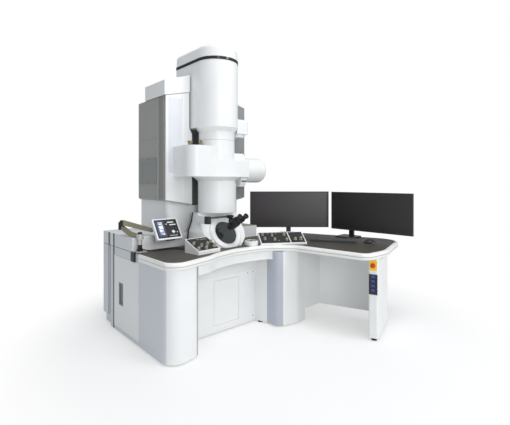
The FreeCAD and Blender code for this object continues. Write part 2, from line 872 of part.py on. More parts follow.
# Pillar under the inner corner of the desk, with its inset accent panel
pillar_points = [
    (pillar_top_left, -panel_front),
    (pillar_left, -accent_top_y),
    (pillar_left, -pillar_corner_y),
    (pillar_face_x, -pillar_face_y),
    (pillar_nose_x, -pillar_nose_y),
    (pillar_end_x, -pillar_end_y),
    (pillar_right, -modesty_y),
    (pillar_right, -panel_front),
]
pillar_core_points = [(x + accent_thickness, y + accent_thickness) for x, y in pillar_points[:5]]
pillar_core_points += [(x - accent_thickness, y + accent_thickness) for x, y in pillar_points[5:]]
pillar_round = [(pillar_corner_round, [2]), (60, [4])]
pillar_blank = prism("pillar_blank", "XY", floor_gap, pillar_points, leg_height, pillar_round)
pillar_shell = prism("pillar_shell", "XY", floor_gap, pillar_points, leg_height, pillar_round)
pillar_core = prism("pillar_core", "XY", floor_gap - 1, pillar_core_points, leg_height + 2, [(50, [2])])
accent_zone = box(
    "accent_zone",
    (pillar_left - 10, -pillar_face_y - 20, floor_gap),
    (accent_end_x, -accent_top_y, slab_bottom),
)
accent = common("accent", cut("accent_shell", pillar_shell, pillar_core), accent_zone)
node("pillar_accent", accent)
accent_zone_2 = box(
    "accent_zone_2",
    (pillar_left - 10, -pillar_face_y - 20, floor_gap),
    (accent_end_x, -accent_top_y, slab_bottom),
)
pillar_core_2 = prism("pillar_core_2", "XY", floor_gap - 1, pillar_core_points, leg_height + 2, [(50, [2])])
node("centre_pillar", cut("pillar", pillar_blank, cut("accent_room", accent_zone_2, pillar_core_2)))

# Modesty panel: one folded sheet from the pillar to the right leg
corner = (modesty_corner_x, -modesty_y)
leg_inner_v = corner[0] * wing_sin - modesty_y * wing_cos
fold_x = corner[0] + modesty_thickness * (1 - wing_cos) / wing_sin
sheet_end = wing(right_leg_u, leg_inner_v)
sheet_back = wing(right_leg_u, leg_inner_v + modesty_thickness)
modesty_points = [
    (pillar_right, -modesty_y),
    corner,
    sheet_end,
    sheet_back,
    (fold_x, modesty_thickness - modesty_y),
    (pillar_right, modesty_thickness - modesty_y),
]
modesty_rise = slab_bottom - modesty_raise
node("modesty_panel", prism("modesty", "XY", modesty_raise, modesty_points, modesty_rise))

# Right leg, its plates, the stop button and the switches, all on the wing's axes
leg_u_mid = right_leg_u + right_leg_width / 2


def on_wing(item):
    """Turn a piece built on the wing's own axes into place."""
    item.Placement = FreeCAD.Placement(
        FreeCAD.Vector(0, 0, 0), FreeCAD.Rotation(FreeCAD.Vector(0, 0, 1), -float(wing_turn))
    )
    return item


right_leg_points = [
    (right_leg_u, right_leg_v),
    (right_leg_u + right_leg_width, right_leg_v),
    (right_leg_u + right_leg_width, right_leg_v + right_leg_depth),
    (right_leg_u, right_leg_v + right_leg_depth),
]
leg_rise = slab_bottom - right_leg_raise
leg_blank = prism("leg_blank", "XY", right_leg_raise, right_leg_points, leg_rise, [(right_leg_round, [0, 1, 2, 3])])
stop_z = stop_plate_z + stop_plate_height / 2
stop_bore = rod("stop_bore", (leg_u_mid, right_leg_v, stop_z), stop_stem + seat, 22, (0, 1, 0))
node("right_leg", on_wing(cut("leg", leg_blank, stop_bore)))


def leg_plate(name, width, height, sill):
    return box(
        name,
        (leg_u_mid - width / 2, right_leg_v - plate_thickness, sill),
        (leg_u_mid + width / 2, right_leg_v, sill + height),
    )


stop_blank = leg_plate("stop_blank", stop_plate_width, stop_plate_height, stop_plate_z)
plate_front = right_leg_v - plate_thickness
stop_hole = rod("stop_hole", (leg_u_mid, plate_front, stop_z), stop_stem + seat, plate_thickness, (0, 1, 0))
stop_plate = cut("stop_plate_cut", stop_blank, stop_hole)
stop_profile = [
    (0, 0),
    (stop_stem, 0),
    (stop_stem, 14),
    (stop_radius - 3, 14),
    (stop_radius, 18),
    (stop_radius, 24),
    (stop_radius - 7, 31),
    (0, 33),
]
stop_head = lathe("stop_head", stop_profile, [(2, [5])])
place(stop_head, (leg_u_mid, right_leg_v + 4, stop_z), 0, (0, 0, 1), 90, (1, 0, 0))
stop_button = fuse("stop_button_turned", stop_head)
stop_button.Shapes = [stop_head, rod("stop_collar", (leg_u_mid, right_leg_v - 10, stop_z), stop_stem, 12, (0, 1, 0))]
node("stop_button", on_wing(stop_button))

switch_blank = leg_plate("switch_blank", switch_plate_width, switch_plate_height, switch_plate_z)
switch_holes = []
switch_caps = []
for i in range(4):
    middle = switch_first_z - switch_pitch * i
    low_u = leg_u_mid - switch_width / 2
    high_u = leg_u_mid + switch_width / 2
    low_z = middle - switch_height / 2
    high_z = middle + switch_height / 2
    switch_holes.append(box(
        "switch_hole_%d" % i,
        (low_u - seat, plate_front, low_z - seat),
        (high_u + seat, right_leg_v, high_z + seat),
    ))
    switch_caps.append(box(
        "switch_cap_%d" % i,
        (low_u, plate_front - switch_proud, low_z),
        (high_u, right_leg_v - 2.5, high_z),
    ))
switch_plate = cut("switch_plate_cut", switch_blank, *switch_holes)
node("switch_plates", on_wing(fuse("leg_plates", stop_plate, switch_plate)))
for i, cap in enumerate(switch_caps):
    node("switch_button_%d" % (i + 1), on_wing(fuse("switch_body_%d" % i, cap, box(
        "switch_stem_%d" % i,
        (leg_u_mid - 6, plate_front, switch_first_z - switch_pitch * i - 5),
        (leg_u_mid + 6, right_leg_v - 2.5, switch_first_z - switch_pitch * i + 5),
    ))))

# Levelling feet under every pedestal
feet = []
foot_places = [
    ((-640, -390), floor_gap),
    ((-520, -240), floor_gap),
    ((-660, 596), floor_gap),
    ((-440, 60), floor_gap),
    ((-440, 680), floor_gap),
    ((330, -215), floor_gap),
    ((560, -430), floor_gap),
    ((440, 230), floor_gap),
    ((560, 630), floor_gap),
    (wing(leg_u_mid, right_leg_v + 40), right_leg_raise),
    (wing(leg_u_mid, right_leg_v + right_leg_depth - 40), right_leg_raise),
]
for i, (spot, lift) in enumerate(foot_places):
    disc = rod("foot_disc_%d" % i, (spot[0], spot[1], 0), foot_radius, foot_disc)
    stem = rod("foot_stem_%d" % i, (spot[0], spot[1], 0), foot_stem, lift)
    feet.append(fuse("foot_%d" % i, disc, stem))
foot_group = doc.addObject("Part::Compound", "feet")
foot_group.Links = feet
node("levelling_feet", foot_group)

# Tower: lower cabinet, upper frame, skins and cap
slope = (upper_bottom - belly_z) / (upper_half + skin - belly_half)
lower_points = [
    (-lower_half, plinth_height),
    (lower_half, plinth_height),
    (lower_half, belly_z + slope * (lower_half - belly_half)),
    (belly_half, belly_z),
    (-belly_half, belly_z),
    (-lower_half, belly_z + slope * (lower_half - belly_half)),
]
lower_blank = prism("lower_blank", "XZ", lower_front, lower_points, lower_depth, [])
lower_corner_z = float(lower_points[5][1])


def vertical_edges(item, x, y):
    found = []
    for number, edge in enumerate(item.Shape.Edges, 1):
        ends = [vertex.Point for vertex in edge.Vertexes]
        if len(ends) == 2 and all(math.dist((p.x, p.y), (float(x), float(y))) < 1e-3 for p in ends):
            found.append("Edge%d" % number)
    return found


corner_edges = vertical_edges(lower_blank, -lower_half, lower_front)
corner_edges += vertical_edges(lower_blank, lower_half, lower_front)
round_edges(lower_blank, corner_edges, lower_round, "lower_round_edge")
node("lower_tower", fuse("lower_tower_and_plinth", lower_blank, plinth))

tower_points = [
    (-upper_half, belly_z + slope * (upper_half - belly_half)),
    (-belly_half, belly_z),
    (belly_half, belly_z),
    (upper_half, belly_z + slope * (upper_half - belly_half)),
    (upper_half, upper_roof),
    (ridge_half, ridge_z),
    (-ridge_half, ridge_z),
    (-upper_half, upper_roof),
]
tower_blank = prism("tower_blank", "XZ", upper_front, tower_points, upper_depth)
wide = gun_radius + channel_gap
narrow = mid_radius + channel_gap


def channel(name, front, rise):
    """The recess in which the column stands: wide for the gun, narrow below it."""
    points = [
        (-narrow, belly_z - rise),
        (narrow, belly_z - rise),
        (narrow, mid_top - channel_gap),
        (wide, gun_bottom),
        (wide, cap_top + rise),
        (-wide, cap_top + rise),
        (-wide, gun_bottom),
        (-narrow, mid_top - channel_gap),
    ]
    return prism(name, "XZ", front, points, gun_back + seat - front)


node("upper_tower", cut("tower", tower_blank, channel("tower_channel", upper_front - 10, 20)))

side_front = upper_front + side_margin
side_back = upper_front + upper_depth - side_margin
side_low = upper_bottom + side_margin
side_high = upper_roof - side_margin


def side_skin(name, low_x, high_x):
    """A grey side cover with a shallow seam line across it."""
    blank = box(name + "_blank", (low_x, side_front, side_low), (high_x, side_back, side_high))
    line = box(name + "_line", (low_x, side_front, 1640), (high_x, side_back, 1643))
    keep = box(name + "_keep", (low_x + 2, side_front, 1639), (high_x - 2, side_back, 1644))
    return cut(name, blank, cut(name + "_groove", line, keep))


left_skin = side_skin("left_skin", -upper_half - skin, -upper_half)
right_skin = side_skin("right_skin", upper_half, upper_half + skin)
plate_x = -upper_half - skin
unit_plate = box(
    "unit_plate",
    (plate_x - unit_thickness, unit_front, unit_sill),
    (plate_x, unit_front + unit_width, unit_sill + unit_height),
)
unit_recess = box(
    "unit_recess",
    (plate_x - unit_thickness, unit_front + 40, unit_sill + 46),
    (plate_x - unit_thickness + 3, unit_front + unit_width - 70, unit_sill + unit_height - 40),
)
node("tower_side_panels", fuse("side_skins", left_skin, right_skin, cut("unit", unit_plate, unit_recess)))

front_half = upper_half + skin - 6
front_low = belly_z + slope * (front_half - belly_half)
roof_slope = (ridge_z - upper_roof) / (upper_half - ridge_half)
front_high = upper_roof - roof_slope * (front_half - upper_half)


def front_cover(name, sign):
    """A front cover whose inner edge follows the outline of the column."""
    points = [
        (front_half * sign, front_low + 8),
        (narrow * sign + 4 * sign, belly_z + slope * (narrow - belly_half) + 12),
        (narrow * sign + 4 * sign, mid_top - channel_gap),
        (wide * sign + 4 * sign, gun_bottom + 4),
        (wide * sign + 4 * sign, ridge_z - roof_slope * (wide - ridge_half) - 6),
        (front_half * sign, front_high - 6),
    ]
    return prism(name, "XZ", upper_front - front_skin, points, front_skin)


node("tower_front_covers", fuse("front_covers", front_cover("left_front", -1), front_cover("right_front", 1)))

cap_slope = (cap_top - cap_eave) / (cap_left - ridge_half)
cap_points = [
    (-cap_left, upper_roof - roof_slope * (cap_left - upper_half)),
    (-cap_left, cap_eave),
    (-ridge_half, cap_top),
    (cap_right, cap_top),
    (cap_right, ridge_z - roof_slope * (cap_right - ridge_half)),
    (ridge_half, ridge_z),
    (-ridge_half, ridge_z),
]
cap_front = upper_front - front_skin - 4
cap_blank = prism("cap_blank", "XZ", cap_front, cap_points, cap_depth)
corner_cutter = prism(
    "corner_cutter",
    "XY",
    upper_roof - 100,
    [
        (-cap_left - 1, cap_front + cap_depth - cap_corner),
        (-cap_left - 1, cap_front + cap_depth + 1),
        (cap_corner - cap_left, cap_front + cap_depth + 1),
    ],
    500,
)
node("tower_cap", cut("cap", cap_blank, channel("cap_channel", cap_front - 10, 20), corner_cutter))


# Column: gun cap, ring and cover have a plan with a round front and straight sides
def draw_bay(sketch, radius, back):
    """A half circle to the front, closed by straight sides and a straight back."""
    radius = as_size(radius)
    back = as_size(back)
    reach = radius.number
    depth = back.number
    point = FreeCAD.Vector
    arc = Part.ArcOfCircle(Part.Circle(point(0, 0, 0), point(0, 0, 1), reach), math.pi, 2 * math.pi)
    sketch.addGeometry(arc, False)
    sketch.addGeometry(Part.LineSegment(point(reach, 0, 0), point(reach, depth, 0)), False)
    sketch.addGeometry(Part.LineSegment(point(reach, depth, 0), point(-reach, depth, 0)), False)
    sketch.addGeometry(Part.LineSegment(point(-reach, depth, 0), point(-reach, 0, 0)), False)
    for first, end, second, start in ((0, 2, 1, 1), (1, 2, 2, 1), (2, 2, 3, 1), (3, 2, 0, 1)):
        sketch.addConstraint(Sketcher.Constraint("Coincident", first, end, second, start))
    sketch.addConstraint(Sketcher.Constraint("Coincident", 0, 3, -1, 1))
    sketch.addConstraint(Sketcher.Constraint("Vertical", 1))
    sketch.addConstraint(Sketcher.Constraint("Vertical", 3))
    sketch.addConstraint(Sketcher.Constraint("Horizontal", 2))
    sketch.addConstraint(Sketcher.Constraint("PointOnObject", 0, 1, -1))
    sketch.addConstraint(Sketcher.Constraint("PointOnObject", 0, 2, -1))
    row = sketch.addConstraint(Sketcher.Constraint("Radius", 0, reach))
    sketch.setExpression("Constraints[%d]" % row, radius.text)
    row = sketch.addConstraint(Sketcher.Constraint("DistanceY", -1, 1, 1, 2, depth))
    sketch.setExpression("Constraints[%d]" % row, back.text)


def bay_body(name, radius, level, height, back, taper=0, top_round=None):
    body = doc.addObject("PartDesign::Body", name)
    sketch = sketch_on(body, "XY", level, name + "_plan")
    draw_bay(sketch, radius, back)
    pad = body.newObject("PartDesign::Pad", name + "_pad")
    pad.Profile = sketch
    pad.TaperAngle = taper
    bind(pad, "Length", height)
    doc.recompute()
    if top_round is not None:
        picks = edges_level(body.Shape, "XY", as_size(level) + height)
        round_edges(body, picks, top_round, name + "_round")
    return body


ring_top = gun_top + ring_height
node("gun_cap", bay_body("cap_body", gun_radius - 1, ring_top, gun_cap_height, gun_back - 1, -2, gun_cap_round))
node("gun_ring", bay_body("ring_body", gun_radius + ring_proud, gun_top, ring_height, gun_back, 0, None))
node("gun_cover", bay_body("cover_body", gun_radius, gun_bottom, gun_top - gun_bottom, gun_back))

mid_profile = [
    (0, stage_shoulder),
    (mid_radius, stage_shoulder),
    (mid_radius, mid_seam_z),
    (mid_radius - seam_depth, mid_seam_z),
    (mid_radius - seam_depth, mid_seam_z + 3),
    (mid_radius, mid_seam_z + 3),
    (mid_radius, mid_top),
    (gun_radius - 3, gun_bottom),
    (0, gun_bottom),
]
node("mid_column", lathe("middle", mid_profile))

# Side port: a rounded housing on the right of the column with a boss below it
port_points = [
    (0, -port_half),
    (port_reach, -port_half),
    (port_reach, port_half),
    (0, port_half),
]
port_top_z = port_sill + port_height
port_block = prism("port_block", "XY", port_sill, port_points, port_height, [(port_round, [1, 2])], 20)
port_boss = rod("port_boss", (port_boss_x, 0, port_sill - port_boss_height), port_boss_radius, port_boss_height)
port_neck = rod("port_neck", (0, 0, port_sill - 60), gun_radius + seat, port_height + 80)
port_flank = box("port_flank", (0, 0, port_sill - 60), (gun_radius + seat, port_half + 20, port_top_z + 20))
node("side_port", cut("port", fuse("port_blank", port_block, port_boss), port_neck, port_flank))

# Stage housing: drum on the left, stepped block on the right, tapered throat below
housing_back = upper_front - front_skin - seat
drum_points = [
    (-drum_left, housing_back),
    (-drum_left, -stage_front),
    (-drum_right, -stage_front),
    (0, -stage_front + 40),
    (0, housing_back),
]
drum_rounds = [(drum_round, [1]), (40, [2])]
drum = prism("drum", "XY", drum_bottom, drum_points, drum_top - drum_bottom, drum_rounds)
front_block = box("front_block", (-drum_right - 60, -stage_front, drum_bottom), (stage_right, housing_back, stage_shoulder))
rear_block = prism(
    "rear_block",
    "YZ",
    0,
    [
        (-stage_front + 20, stage_shoulder - 30),
        (-stage_step - 30, stage_shoulder),
        (-stage_step, stage_top),
        (housing_back, stage_top),
        (housing_back, stage_shoulder - 30),
    ],
    stage_right,
)
taper = cone("taper", (0, 0, drum_bottom - taper_height), lower_radius, taper_radius, taper_height)
taper_window = box("taper_window", (-300, -300, drum_bottom - 60), (300, housing_back, drum_bottom))
taper_cut = common("taper_cut", taper, taper_window)
flange = rod("flange", (stage_right, cover_axis_y, cover_axis_z), flange_radius, flange_length, (1, 0, 0))
sleeve = rod(
    "sleeve",
    (stage_right, cover_axis_y, cover_axis_z),
    sleeve_radius,
    flange_length + sleeve_length,
    (1, 0, 0),
)
bracket_points = [
    (-bracket_width / 2 - 45, drum_bottom),
    (-bracket_width / 2 - 45, drum_bottom - bracket_height / 2),
    (-bracket_width / 2 - 20, drum_bottom - bracket_height),
    (bracket_width / 2 - 45, drum_bottom - bracket_height),
    (bracket_width / 2 - 45, drum_bottom),
]
bracket = prism("bracket", "YZ", stage_right - bracket_length, bracket_points, bracket_length)
fittings = [
    rod("fitting_a", (-300, -40, drum_top), 16, 26),
    rod("fitting_b", (-300, -40, drum_top + 26), 22, 14),
    rod("fitting_c", (-208, -64, drum_top), 20, 30),
    rod("fitting_d", (-208, -64, drum_top + 30), 13, 22),
]
housing_pieces = [drum, front_block, rear_block, taper_cut, flange, sleeve, bracket]
housing_blank = fuse("housing_blank", *housing_pieces, *fittings)
column_room = rod("column_room", (0, 0, stage_shoulder), mid_radius + seat, 200)
sleeve_bore = rod("sleeve_bore", (stage_right, cover_axis_y, cover_axis_z), 20, 200, (1, 0, 0))
node("stage_housing", cut("housing", housing_blank, column_room, sleeve_bore))

# Holder cover: a deep cap with a rounded end that draws off over the sleeve
cover_profile = [
    (0, cover_length),
    (cover_radius, cover_length),
    (cover_radius, 0),
    (cover_radius - cover_wall, 0),
    (cover_radius - cover_wall, cover_length - cover_wall - 30),
    (cover_radius - cover_wall - 30, cover_length - cover_wall),
    (0, cover_length - cover_wall),
]
holder_cover = lathe("holder_shell", cover_profile, [(cover_round, [1])])
cover_start = stage_right + flange_length + seat
place(holder_cover, (cover_start, cover_axis_y, cover_axis_z), 0, (0, 0, 1), 90, (0, 1, 0))
node("holder_cover", holder_cover)

# Lower column, the arched front cover on it, and the viewing chamber
lower_column_top = drum_bottom - taper_height
lower_tube = rod("lower_tube", (0, 0, chamber_top), lower_radius, lower_column_top - chamber_top)
arch_blank = rod("arch_blank", (0, 0, chamber_top + 3), lower_radius + lower_cover_proud, 258)
arch_points = [
    (-300, chamber_top + 3),
    (150, chamber_top + 3),
    (150, lower_column_top - 8),
    (-300, lower_column_top - 8),
]
arch_window = prism("arch_window", "XZ", -300, arch_points, 270, [(80, [2])])
node("lower_column", fuse("lower_column_all", lower_tube, common("arch", arch_blank, arch_window)))

chamber_profile = [
    (0, desk_top),
    (chamber_base, desk_top),
    (chamber_base, desk_top + 12),
    (chamber_belly, desk_top + 60),
    (chamber_belly - 6, desk_top + 130),
    (chamber_neck + 12, chamber_top - 80),
    (chamber_neck, chamber_top),
    (0, chamber_top),
]
chamber_blank = lathe("chamber_blank", chamber_profile, [(30, [3]), (60, [4])])
chamber_back = box(
    "chamber_back",
    (-400, shelf_front - seat, desk_top - 50),
    (400, 500, chamber_top + 50),
)
window_lean = window_tilt - 90
tilt_angle = 90 - window_tilt


def on_window(item, lift):
    """Place a piece on the window's axis, lifted along its normal."""
    lift = as_size(lift)
    out = (0, -(lift * cosine(tilt_angle)) + window_y, lift * sine(tilt_angle) + window_z)
    return place(item, out, 0, (0, 0, 1), 90 - float(tilt_angle), (1, 0, 0))


window_slab = box("window_slab", (-500, -500, 0), (500, 500, 400))
window_slab.Placement = FreeCAD.Placement(
    FreeCAD.Vector(0, float(window_y), float(window_z)),
    FreeCAD.Rotation(FreeCAD.Vector(1, 0, 0), 90 - float(tilt_angle)),
).multiply(FreeCAD.Placement(FreeCAD.Vector(-500, -500, -float(window_ring_thickness)), FreeCAD.Rotation()))
for letter in "xyz":
    window_slab.setExpression("Placement.Base." + letter, None)
view_depth = size("view_depth", 60)
doc.recompute()
view_bore = on_window(rod("view_bore", (0, 0, 0), window_radius, view_depth), -window_ring_thickness - view_depth)
chamber = cut("chamber", chamber_blank, chamber_back, window_slab, view_bore)
ring_low = -window_ring_thickness
ring_profile = [
    (window_radius, ring_low),
    (window_ring_radius, ring_low),
    (window_ring_radius, -8),
    (window_ring_radius - 12, 0),
    (window_radius + 10, 0),
    (window_radius, -8),
]
ring_blank = lathe("ring_blank", ring_profile, [(5, [2, 3])])
on_window(ring_blank, 0)
floor_cut = box("floor_cut", (-400, -600, desk_top - 200), (400, 200, desk_top))
node("window_ring", cut("window_rim", ring_blank, floor_cut))
glass = on_window(rod("glass", (0, 0, 0), window_radius - run_gap, glass_thickness), -window_ring_thickness)
node("window_glass", glass)

# Rail under the column, binocular that tilts on it, and its eyepieces
rail_block = box(
    "rail_block",
    (-rail_left - rail_block_width, rail_y - 10, rail_z - rail_block_height + 12),
    (-rail_left, rail_y + 162, rail_z + 12),
)
rail_bar = rod("rail_bar", (-rail_left, rail_y, rail_z), rail_radius, rail_left + rail_right, (1, 0, 0))
node("viewing_chamber", fuse("chamber_and_rail", chamber, rail_block, rail_bar))

scope_cos = cosine(scope_tilt)
scope_sin = sine(scope_tilt)
scope_angle = -(90 - float(scope_tilt))


def on_scope(item, along, across=0, side=0):
    """Place a piece built on +Z onto the binocular's sloping axis."""
    along = as_size(along)
    across = as_size(across)
    where = (
        as_size(side),
        rail_y - along * scope_cos + across * scope_sin - 20,
        rail_z + along * scope_sin + across * scope_cos - 78,
    )
    return place(item, where, 0, (0, 0, 1), -scope_angle, (1, 0, 0))


scope_profile = [
    (0, -20),
    (scope_neck, -20),
    (scope_neck, 0),
    (scope_radius, 18),
    (scope_radius, scope_length - 12),
    (scope_radius - 8, scope_length),
    (0, scope_length),
]
scope_body = on_scope(lathe("scope_body", scope_profile, [(5, [3, 4])]), 0)
prism_box = prism(
    "prism_box",
    "XY",
    0,
    [
        (-prism_width / 2, -prism_height / 2),
        (prism_width / 2, -prism_height / 2),
        (prism_width / 2, prism_height / 2),
        (-prism_width / 2, prism_height / 2),
    ],
    prism_length,
    [(10, [0, 1, 2, 3])],
    5,
)
on_scope(prism_box, scope_length - 6)
lug = rod("lug", (-lug_half, rail_y, rail_z), lug_radius, lug_half * 2, (1, 0, 0))
lug_web = box("lug_web", (-9, rail_y - 34, rail_z - 74), (9, rail_y + 4, rail_z - 4))
socket_height = size("socket_height", 10)
socket_end = scope_length + prism_length - 2
eye_seat = size("eye_seat", 14)
doc.recompute()
sockets = []
socket_bores = []
for sign in (-1, 1):
    side = eye_pitch / 2 * sign
    socket = rod("socket_%d" % (sign + 1), (0, 0, 0), eye_radius + 3, socket_height)
    sockets.append(on_scope(socket, socket_end - socket_height, 0, side))
    bore = rod("socket_bore_%d" % (sign + 1), (0, 0, 0), eye_stem + run_gap, 40)
    socket_bores.append(on_scope(bore, socket_end - eye_seat - seat, 0, side))
scope_blank = fuse("scope_blank", scope_body, prism_box, lug, lug_web, *sockets)
lug_bore = rod("lug_bore", (-lug_half - 5, rail_y, rail_z), rail_radius + run_gap, lug_half * 2 + 10, (1, 0, 0))
node("binocular", cut("scope", scope_blank, lug_bore, *socket_bores))
eye_profile = [
    (0, 0),
    (eye_stem, 0),
    (eye_stem, eye_seat),
    (eye_radius, eye_seat),
    (eye_radius, 26),
    (eye_radius - 2, 28),
    (eye_radius - 2, eye_length - 12),
    (eye_radius + 3, eye_length),
    (eye_radius, eye_length + 8),
    (10, eye_length + 4),
    (0, eye_length + 4),
]
eye_base = socket_end - eye_seat
for label, sign in (("eyepiece_left", -1), ("eyepiece_right", 1)):
    eye = lathe(label + "_body", eye_profile)
    node(label, on_scope(eye, eye_base + seat, 0, eye_pitch / 2 * sign))

# Touch-panel arm: clamp with post, lower arm, upper arm and the panel on its mount
clamp_top_plate = box(
    "clamp_top_plate",
    (left_x - 16, post_y - clamp_width / 2, desk_top),
    (post_x + 44, post_y + clamp_width / 2 - 4, desk_top + clamp_plate),
)
clamp_back = box(
    "clamp_back",
    (left_x - 16, post_y - clamp_width / 2, slab_bottom - 12),
    (left_x - 4, post_y + clamp_width / 2 - 4, desk_top + clamp_plate),
)
post_base = rod("post_base", (post_x, post_y, desk_top + clamp_plate), post_radius + 6, 16)
post_bar = rod("post_bar", (post_x, post_y, desk_top), post_radius, collar_z - desk_top)
post_pin = rod("post_pin", (post_x, post_y, collar_z), 10, collar_height + seat)
post_cap = rod("post_cap", (post_x, post_y, collar_z + collar_height + seat), post_radius, 14)
node("arm_clamp", fuse("clamp", clamp_top_plate, clamp_back, post_base, post_bar, post_pin, post_cap))

elbow_x_ = post_x + elbow_dx
elbow_y_ = post_y + elbow_dy
reach = math.hypot(elbow_dx.number, elbow_dy.number)
lower_angle = math.degrees(math.atan2(elbow_dy.number, elbow_dx.number))
arm_length = Size(reach, "sqrt(%s ^ 2 + %s ^ 2)" % (elbow_dx.text, elbow_dy.text))
collar = rod("collar", (0, 0, collar_z + seat / 2), collar_radius, collar_height - seat / 2)
knuckle_low = rod("knuckle_low", (arm_length, 0, elbow_z), knuckle_radius, knuckle_height)
elbow_pin = rod("elbow_pin", (arm_length, 0, elbow_z), 8, knuckle_height * 2 + seat + 4)
beam_points = [
    (collar_radius - 6, shelf_top + 5),
    (arm_length * 0.5, shelf_top + 7),
    (arm_length - knuckle_radius + 6, elbow_z),
    (arm_length - knuckle_radius + 6, elbow_z + knuckle_height - 2),
    (arm_length * 0.5, shelf_top + 7 + arm_depth),
    (collar_radius - 6, collar_z + collar_height - 2),
]
lower_beam = prism("lower_beam", "XZ", -arm_width / 2, beam_points, arm_width, [(40, [1, 4])])
lower_blank_arm = fuse("lower_arm_blank", collar, knuckle_low, elbow_pin, lower_beam)
collar_bore = rod("collar_bore", (0, 0, collar_z - 20), 10 + run_gap, collar_height + 40)
lower_arm = cut("lower_arm", lower_blank_arm, collar_bore)
node("arm_lower", place(lower_arm, (post_x, post_y, 0), lower_angle))

tilt_cos = math.cos(math.radians(touch_tilt.number))
tilt_sin = math.sin(math.radians(touch_tilt.number))
head_depth = touch_thickness + mount_gap + mount_sheet_thickness + head_back
head_y = panel_y + head_up * sine(touch_tilt) + head_depth * cosine(touch_tilt)
head_z = panel_z + head_up * cosine(touch_tilt) - head_depth * sine(touch_tilt)
head_dx = panel_x - elbow_x_
head_dy = head_y - elbow_y_
upper_reach = Size(
    math.hypot(head_dx.number, head_dy.number),
    "sqrt(%s ^ 2 + %s ^ 2)" % (head_dx.text, head_dy.text),
)
upper_angle = math.degrees(math.atan2(head_dy.number, head_dx.number))
upper_low = elbow_z + knuckle_height + seat
knuckle_high = rod("knuckle_high", (0, 0, upper_low), knuckle_radius, knuckle_height)
upper_points = [
    (knuckle_radius + 8, upper_low + 1),
    (upper_reach - neck_length, head_z - 6),
    (upper_reach - neck_length, head_z + 26),
    (knuckle_radius - 8, upper_low + knuckle_height + 14),
    (-10, upper_low + knuckle_height + 14),
    (-10, upper_low + 1),
]
upper_beam = prism("upper_beam", "XZ", -arm_width / 2 - 3, upper_points, arm_width + 6, [(18, [3])])
neck_points = [
    (upper_reach - neck_length - 20, head_z + 2),
    (upper_reach, head_z - head_radius + 2),
    (upper_reach, head_z + head_radius - 2),
    (upper_reach - neck_length - 20, head_z + 24),
]
neck_beam = prism("neck_beam", "XZ", -neck_half, neck_points, neck_half * 2)
upper_blank_arm = fuse("upper_arm_blank", knuckle_high, upper_beam, neck_beam)
upper_bore = rod("upper_bore", (0, 0, upper_low - 20), 8 + run_gap, 160)
upper_arm_cut = cut("upper_arm_cut", upper_blank_arm, upper_bore)
place(upper_arm_cut, (elbow_x_, elbow_y_, 0), upper_angle)
head_pin = rod("head_pin", (panel_x - head_half - 18, head_y, head_z), 7, head_half * 2 + 36, (1, 0, 0))
head_block = rod("head_block", (panel_x - head_half, head_y, head_z), head_radius, head_half * 2, (1, 0, 0))
node("arm_upper", fuse("upper_arm", upper_arm_cut, head_block, head_pin))


def on_touch(item, x=0, y=0, lift=0):
    """Place a piece drawn flat onto the touch panel's leaning face."""
    where = (
        panel_x + x,
        panel_y + as_size(y) * sine(touch_tilt) - as_size(lift) * cosine(touch_tilt),
        panel_z + as_size(y) * cosine(touch_tilt) + as_size(lift) * sine(touch_tilt),
    )
    return place(item, where, 0, (0, 0, 1), 90 - touch_tilt.number, (1, 0, 0))


def plate_points(width, height):
    return [
        (-width / 2, -height / 2),
        (width / 2, -height / 2),
        (width / 2, height / 2),
        (-width / 2, height / 2),
    ]


touch_blank = prism(
    "touch_blank",
    "XY",
    -touch_thickness,
    plate_points(touch_width, touch_height),
    touch_thickness,
    [(touch_round, [0, 1, 2, 3])],
    3,
)
touch_recess = box(
    "touch_recess",
    (-touch_width / 2 + 12, -touch_height / 2 + 14, -2),
    (touch_width / 2 - 10, touch_height / 2 - 10, 1),
)
touch_grip = box("touch_grip", (-40, -touch_height / 2 - 6, -14), (40, -touch_height / 2, -3))
touch_cut = cut("touch_cut", fuse("touch_fused", touch_blank, touch_grip), touch_recess)
mount_level = -(touch_thickness + mount_gap + mount_sheet_thickness)
mount_sheet = prism(
    "mount_sheet",
    "XY",
    mount_level,
    plate_points(mount_width, mount_height),
    mount_sheet_thickness,
    [(10, [0, 1, 2, 3])],
)
mount_core = box("mount_core", (-50, -50, mount_level + mount_sheet_thickness), (50, 50, -touch_thickness))
ears = []
for sign in (-1, 1):
    ear_x = (head_half + 8) * sign
    ears.append(box(
        "mount_ear_%d" % (sign + 1),
        (ear_x - 6, head_up - 12, mount_level - head_back - 10),
        (ear_x + 6, head_up + 12, mount_level),
    ))
mount_blank = fuse("mount_blank", mount_sheet, mount_core, *ears)
pin_room = rod("pin_room", (-80, head_up, mount_level - head_back), 7 + run_gap, 160, (1, 0, 0))
mount = cut("mount", mount_blank, pin_room)
node("touch_panel", on_touch(fuse("touch_all", touch_cut, mount)))


# Control units: a sloping white case with a dark plate let into it
def unit_place(item, corner_x, corner_y, turn):
    return place(item, (corner_x, corner_y, 0), turn)


def slope_place(item, corner_x, corner_y, turn, front, x, y, lift=0):
    """Place a piece built on +Z square onto a unit's sloping face."""
    x = as_size(x)
    y = as_size(y)
    lift = as_size(lift)
    level = y * cosine(unit_slope) - lift * sine(unit_slope)
    where = (
        corner_x + x * cosine(turn) - level * sine(turn),
        corner_y + x * sine(turn) + level * cosine(turn),
        unit_base + front + y * sine(unit_slope) + lift * cosine(unit_slope),
    )
    return place(item, where, turn.number, (0, 0, 1), unit_slope.number, (1, 0, 0))


unit_base = desk_top
plate_sink = size("plate_sink", 3)
knob_height = size("knob_height", 20)
doc.recompute()


